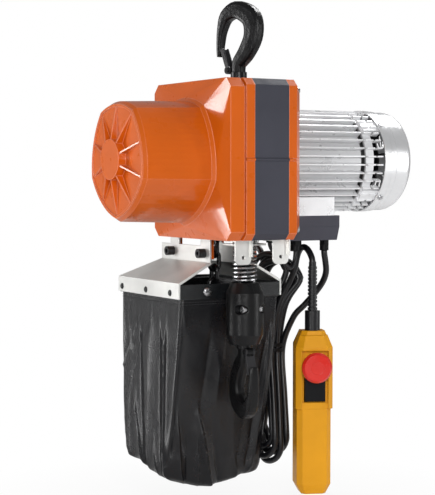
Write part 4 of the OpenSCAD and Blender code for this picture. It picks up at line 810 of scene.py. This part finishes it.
def rounded_ring(x0, x1, y0, y1, r, count):
    """Evenly spaced points round a rectangle with round corners: place and outward way."""
    quarter = math.pi * r / 2
    sides = [x1 - x0 - 2 * r, y1 - y0 - 2 * r]
    total = 2 * sum(sides) + 4 * quarter
    centres = [(x1 - r, y0 + r, -90), (x1 - r, y1 - r, 0), (x0 + r, y1 - r, 90), (x0 + r, y0 + r, 180)]
    out = []
    for k in range(count):
        s = total * k / count
        for corner in range(4):
            side = sides[corner % 2]
            # each stretch is a straight side and the round corner after it
            if s < side:
                cx, cy, a = centres[corner]
                t = math.radians(a)
                px, py = cx + r * math.cos(t), cy + r * math.sin(t)
                back = side - s
                out.append((px + back * math.sin(t), py - back * math.cos(t), math.cos(t), math.sin(t)))
                break
            s -= side
            if s < quarter:
                cx, cy, a = centres[corner]
                t = math.radians(a) + s / r
                out.append((cx + r * math.cos(t), cy + r * math.sin(t), math.cos(t), math.sin(t)))
                break
            s -= quarter
        else:
            out.append(out[0])
    return out


def drape(obj, around, count):
    """Let the cloth settle under its own weight, held at the frame and at the floor."""
    keep = [v.co.copy() for v in obj.data.vertices]
    group = obj.vertex_groups.new(name="held")
    for i, v in enumerate(obj.data.vertices):
        level = i // around
        top = max(0.0, 1 - level / 12)
        floor = max(0.0, (level - count + 16) / 16)
        group.add([i], min(1.0, max(top * 1.6, floor)), "REPLACE")
    mod = obj.modifiers.new("settle", "CLOTH")
    s = mod.settings
    s.quality, s.mass, s.air_damping = 5, 0.25, 2.0
    s.tension_stiffness = s.compression_stiffness = 12
    s.shear_stiffness, s.bending_stiffness = 6, 0.6
    s.vertex_group_mass = "held"
    s.shrink_min = -0.015
    mod.collision_settings.use_collision = False
    mod.point_cache.frame_start, mod.point_cache.frame_end = 1, SETTLE_FRAMES
    scene = bpy.context.scene
    for f in range(1, SETTLE_FRAMES + 1):
        scene.frame_set(f)
    graph = bpy.context.evaluated_depsgraph_get()
    settled = obj.evaluated_get(graph).data
    shift = [new.co - old for old, new in zip(keep, settled.vertices)]
    rows = count * around
    # the cloth buckles at the size of the mesh, so only its broader movement is kept
    beside, above = [], []
    for i in range(rows):
        column = i % around
        beside.append((i - column + (column + 1) % around, i - column + (column - 1) % around))
        above.append((max(i - around, column), min(i + around, rows - around + column)))
    for _ in range(SMOOTHING):
        shift = [shift[i] * 0.4 + (shift[beside[i][0]] + shift[beside[i][1]]) * 0.2
                 + (shift[above[i][0]] + shift[above[i][1]]) * 0.1 for i in range(rows)] + shift[rows:]
    moved = []
    for old, step in zip(keep, shift):
        if step.length > SETTLE_CAP:
            step = step.normalized() * SETTLE_CAP
        moved.append(old + step)
    scene.frame_set(1)
    obj.modifiers.remove(mod)
    for v, co in zip(obj.data.vertices, moved):
        v.co = co
    obj.data.update()


# The hem has two rows of stitches, so far apart, and the screws of the lips and of the frame have a height
HEM_Z, HEM_GAP, HEM_POINTS = -190.5, 3.2, 180
LIP_SCREW_Z, FRAME_SCREW_Z = -178.6, -177


class HOIST_OT_bag_trim(bpy.types.Operator):
    """Stitch the hem of the bag and screw it to its frame and brackets"""
    bl_idname = "hoist.bag_trim"
    bl_label = "Hem and screws of the bag"

    def execute(self, context):
        bag = context.scene.hoist_bag
        lines = []
        for z in (HEM_Z, HEM_Z - HEM_GAP):
            ring = rounded_ring(-55.4, 98.4, -5.6, 172.4, 4.5, HEM_POINTS)
            lines.append([at(x + 0.4 * nx, y + 0.4 * ny, z) for x, y, nx, ny in ring])
        verts = [p for line in lines for p in line]
        edges = []
        for start in (0, HEM_POINTS):
            edges += [(start + k, start + (k + 1) % HEM_POINTS) for k in range(HEM_POINTS)]
        obj = new_mesh("hem_stitches", verts, edges=edges)
        obj = stitch_rows().run(obj, "hem_stitches", Pitch=bag.stitch, Thickness=0.00035,
                                Finish=FINISHES["thread_grey"])
        finish_piece(obj, "case", "black_fabric", "thread_grey")
        left = [(at(-59.6, y, LIP_SCREW_Z), (-1, 0, 0)) for y in (17, 88, 162)]
        right = [(at(102.6, y, LIP_SCREW_Z), (1, 0, 0)) for y in (17, 88, 162)]
        screws("bracket_lip_screws", left + right, 0.0044, 0.0022, "case", "dark_steel")
        front = [(at(x, -7.05, FRAME_SCREW_Z), (0, -1, 0)) for x in (-15, 57)]
        rear = [(at(x, 174.05, FRAME_SCREW_Z), (0, 1, 0)) for x in (-15, 57)]
        screws("bag_frame_screws", front + rear, 0.0062, 0.0024, "case", "steel", 0.1)
        return {"FINISHED"}


def lay(name, line, step, radius, nodes):
    """One cable along its line, in place of the solids named: the piece and its points."""
    pts = even(smooth(route(line), 8), step)
    obj = finish_piece(tube_mesh(name, pts, radius, 12), "case", "black_rubber")
    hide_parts(*nodes)
    return obj, pts


class HOIST_OT_cables(bpy.types.Operator):
    """Lay the control cable, the power cord with its plug, and the limit switch lead"""
    bl_idname = "hoist.cables"
    bl_label = "Cables and their hank"

    def execute(self, context):
        sizes = context.scene.hoist_cables
        for name, line, nodes, far in (
                ("control_cable_run", control_line(), ("control_cable", "cable_hank"), "object"),
                ("power_cord_run", power_line(), ("power_cord",), "plug")):
            obj, pts = lay(name, line, 0.0045, sizes.cable / 2, nodes)
        obj, pts = lay("limit_lead_run", LIMIT_LEAD, 0.003, sizes.lead / 2, ["limit_lead"])
        return {"FINISHED"}


# the bead over the joint of the case: its radius in metres, and how far it runs left and right
BEAD, BEAD_LEFT, BEAD_RIGHT = 0.0021, -42, 58


class HOIST_OT_seam(bpy.types.Operator):
    """Raise a bead over the joint between the upper and the lower half of the case"""
    bl_idname = "hoist.seam"
    bl_label = "Bead over the joint of the case"

    def execute(self, context):
        for node, finish in (("gear_plate", "orange_casting"), ("gear_housing", "dark_casting"),
                             ("motor_flange", "orange_casting")):
            low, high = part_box(node)
            x0, x1 = max(low[0], at(BEAD_LEFT, 0, 0).x), min(high[0], at(BEAD_RIGHT, 0, 0).x)
            for side, y in (("front", low[1]), ("rear", high[1])):
                points = [Vector((x0 + (x1 - x0) * k / 8, y, MOTOR_AXIS[1])) for k in range(9)]
                obj = tube_mesh(f"{node}_bead_{side}", points, BEAD, 10)
                finish_piece(obj, "case", finish)
        return {"FINISHED"}


# points round a cable tie, and half its width and its thickness in metres
TIE_POINTS, TIE_HALF, TIE_WALL = 48, 0.0024, 0.0013


class HOIST_OT_ties(bpy.types.Operator):
    """Tie the hank"""
    bl_idname = "hoist.ties"
    bl_label = "Cable ties"

    def execute(self, context):
        for index, (z, rx, ry) in enumerate(((TIE_Z, 14.6, 19.6), (TIE_Z + 7, 14.8, 19.8))):
            pts = []
            for k in range(TIE_POINTS):
                a = 2 * math.pi * k / TIE_POINTS
                c, s = math.cos(a), math.sin(a)
                pts.append(at(HANK_X + rx * math.copysign(abs(c) ** 0.75, c),
                              HANK_Y + ry * math.copysign(abs(s) ** 0.75, s), z + 1.5 * s))
            verts, faces = [], []
            for i, p in enumerate(pts):
                a = 2 * math.pi * i / TIE_POINTS
                out = Vector((math.cos(a), math.sin(a), 0))
                for dz, dr in ((-TIE_HALF, 0), (-TIE_HALF, TIE_WALL), (TIE_HALF, TIE_WALL), (TIE_HALF, 0)):
                    verts.append(p + out * dr + Vector((0, 0, dz)))
            for i in range(TIE_POINTS):
                j = (i + 1) % TIE_POINTS
                for k in range(4):
                    m = (k + 1) % 4
                    faces.append((4 * i + k, 4 * j + k, 4 * j + m, 4 * i + m))
            obj = new_mesh("hank_tie_%d" % index, verts, faces, False)
            outward(obj)
            finish_piece(obj, "case", "black_plastic")
        return {"FINISHED"}


# The camera's place on the drawing, its turn and tilt in degrees, and its lens
CAMERA_AT, CAMERA_TURN, CAMERA_TILT, CAMERA_LENS = (-969.2, -1686.6, -23.2), 30, 2.79, 104.5
# how far the floor lies below the hoist, and half its side, in metres
FLOOR_DROP, FLOOR_HALF = 0.03, 6.0


class HOIST_OT_stage(bpy.types.Operator):
    """Set the pale floor, the lamps and the camera"""
    bl_idname = "hoist.stage"
    bl_label = "Studio"

    def execute(self, context):
        stage = context.scene.hoist_stage
        scene = context.scene
        cam = bpy.data.cameras.new("camera")
        cam.sensor_width, cam.lens = 36, CAMERA_LENS
        cam.clip_start, cam.clip_end = 0.05, 30
        eye = bpy.data.objects.new("camera", cam)
        scene.collection.objects.link(eye)
        turn, tilt = math.radians(CAMERA_TURN), math.radians(CAMERA_TILT)
        look = Vector((math.sin(turn) * math.cos(tilt), math.cos(turn) * math.cos(tilt), -math.sin(tilt)))
        eye.location = at(*CAMERA_AT)
        eye.rotation_euler = look.to_track_quat("-Z", "Y").to_euler()
        scene.camera = eye
        # the world is white to the camera and only lights the hoist softly
        world = bpy.data.worlds.new("studio")
        scene.world = world
        world.use_nodes = True
        tree = world.node_tree
        back = tree.nodes["Background"]
        back.inputs["Strength"].default_value = stage.sky
        back.inputs["Color"].default_value = (1, 1, 1, 1)
        white = add_node(tree, "ShaderNodeBackground", {"Color": (1, 1, 1, 1), "Strength": 1.0})
        path = add_node(tree, "ShaderNodeLightPath")
        mix = add_node(tree, "ShaderNodeMixShader", {0: path.outputs["Is Camera Ray"], 1: back.outputs[0],
                                                     2: white.outputs[0]})
        tree.links.new(mix.outputs[0], tree.nodes["World Output"].inputs["Surface"])
        floor_z = BOX_CAD[0][2] - FLOOR_DROP
        corners = [(FLOOR_HALF * x, FLOOR_HALF * y, floor_z) for x, y in ((-1, -1), (1, -1), (1, 1), (-1, 1))]
        floor = new_mesh("studio_floor", corners, [(0, 1, 2, 3)], False)
        n = Nodes("pale_floor")
        n.join(n.blend(n.noise(3.0), (0.80, 0.80, 0.80), (0.84, 0.84, 0.84)), "Base Color")
        n.set(Roughness=0.95, Specular_IOR_Level=0.1)
        # away from the hoist the floor glows to the camera, so only the soft shadow under it shows
        glow = n.add("ShaderNodeEmission", {"Strength": 1.0})
        path = n.add("ShaderNodeLightPath")
        share = n.span(n.reach((0, 1), (0.02, 0.05)), 0.1, 0.45, 0.8, 1.0)
        mixed = n.add("ShaderNodeMixShader", {0: n.maths("MULTIPLY", share, path.outputs["Is Camera Ray"]),
                                              1: n.shader.outputs[0],
                                              2: glow.outputs[0]})
        n.tree.links.new(mixed.outputs[0], n.tree.nodes["Material Output"].inputs["Surface"])
        floor.data.materials.append(n.mat)
        centre = at(40, 0, -130)
        for name, place, power, width, height in (
                ("key_lamp", (-0.9, -1.9, 0.55), stage.key, 0.5, 0.9),
                ("left_lamp", (-1.8, -0.95, 0.0), stage.fill * 0.6, 0.16, 0.9),
                ("strip_lamp", (-1.55, 1.2, 0.1), stage.fill * 2.6, 0.42, 1.3),
                ("top_lamp", (1.12, 0.41, 1.42), stage.fill * 2.0, 0.7, 0.5),
                ("right_lamp", (1.7, -1.55, 0.1), stage.fill * 1.1, 0.3, 1.2)):
            lamp = bpy.data.lights.new(name, "AREA")
            lamp.shape = "RECTANGLE"
            lamp.size, lamp.size_y, lamp.energy = width, height, power
            obj = bpy.data.objects.new(name, lamp)
            scene.collection.objects.link(obj)
            obj.location = centre + Vector(place)
            obj.rotation_euler = (centre - obj.location).to_track_quat("-Z", "Y").to_euler()
        scene.view_settings.view_transform = "Standard"
        return {"FINISHED"}


class HOIST_PT_panel(bpy.types.Panel):
    """Sizes, colours and steps of the hoist"""
    bl_idname = "HOIST_PT_panel"
    bl_label = "Hoist"
    bl_space_type = "VIEW_3D"
    bl_region_type = "UI"
    bl_category = "Hoist"

    def draw(self, context):
        for group in GROUPS:
            settings = getattr(context.scene, group)
            box = self.layout.box()
            for name in settings.bl_rna.properties.keys():
                if name not in ("rna_type", "name"):
                    box.prop(settings, name)
        for operator in STEPS:
            self.layout.operator(operator.bl_idname)


GROUPS = {"hoist_paint": HoistPaint, "hoist_bag": HoistBag, "hoist_cables": HoistCables,
          "hoist_stage": HoistStage}
STEPS = [HOIST_OT_stage, HOIST_OT_paint, HOIST_OT_seam, HOIST_OT_cables, HOIST_OT_ties, HOIST_OT_bag,
         HOIST_OT_bag_trim]


def register():
    for cls in (*GROUPS.values(), *STEPS, HOIST_PT_panel):
        bpy.utils.register_class(cls)
    for name, cls in GROUPS.items():
        setattr(bpy.types.Scene, name, PointerProperty(type=cls))


def unregister():
    for name in GROUPS:
        delattr(bpy.types.Scene, name)
    for cls in (HOIST_PT_panel, *reversed(STEPS), *GROUPS.values()):
        bpy.utils.unregister_class(cls)


def main():
    """Run every step in order."""
    register()
    for step in STEPS:
        group, name = step.bl_idname.split(".")
        getattr(getattr(bpy.ops, group), name)()


if __name__ == "__main__":
    main()
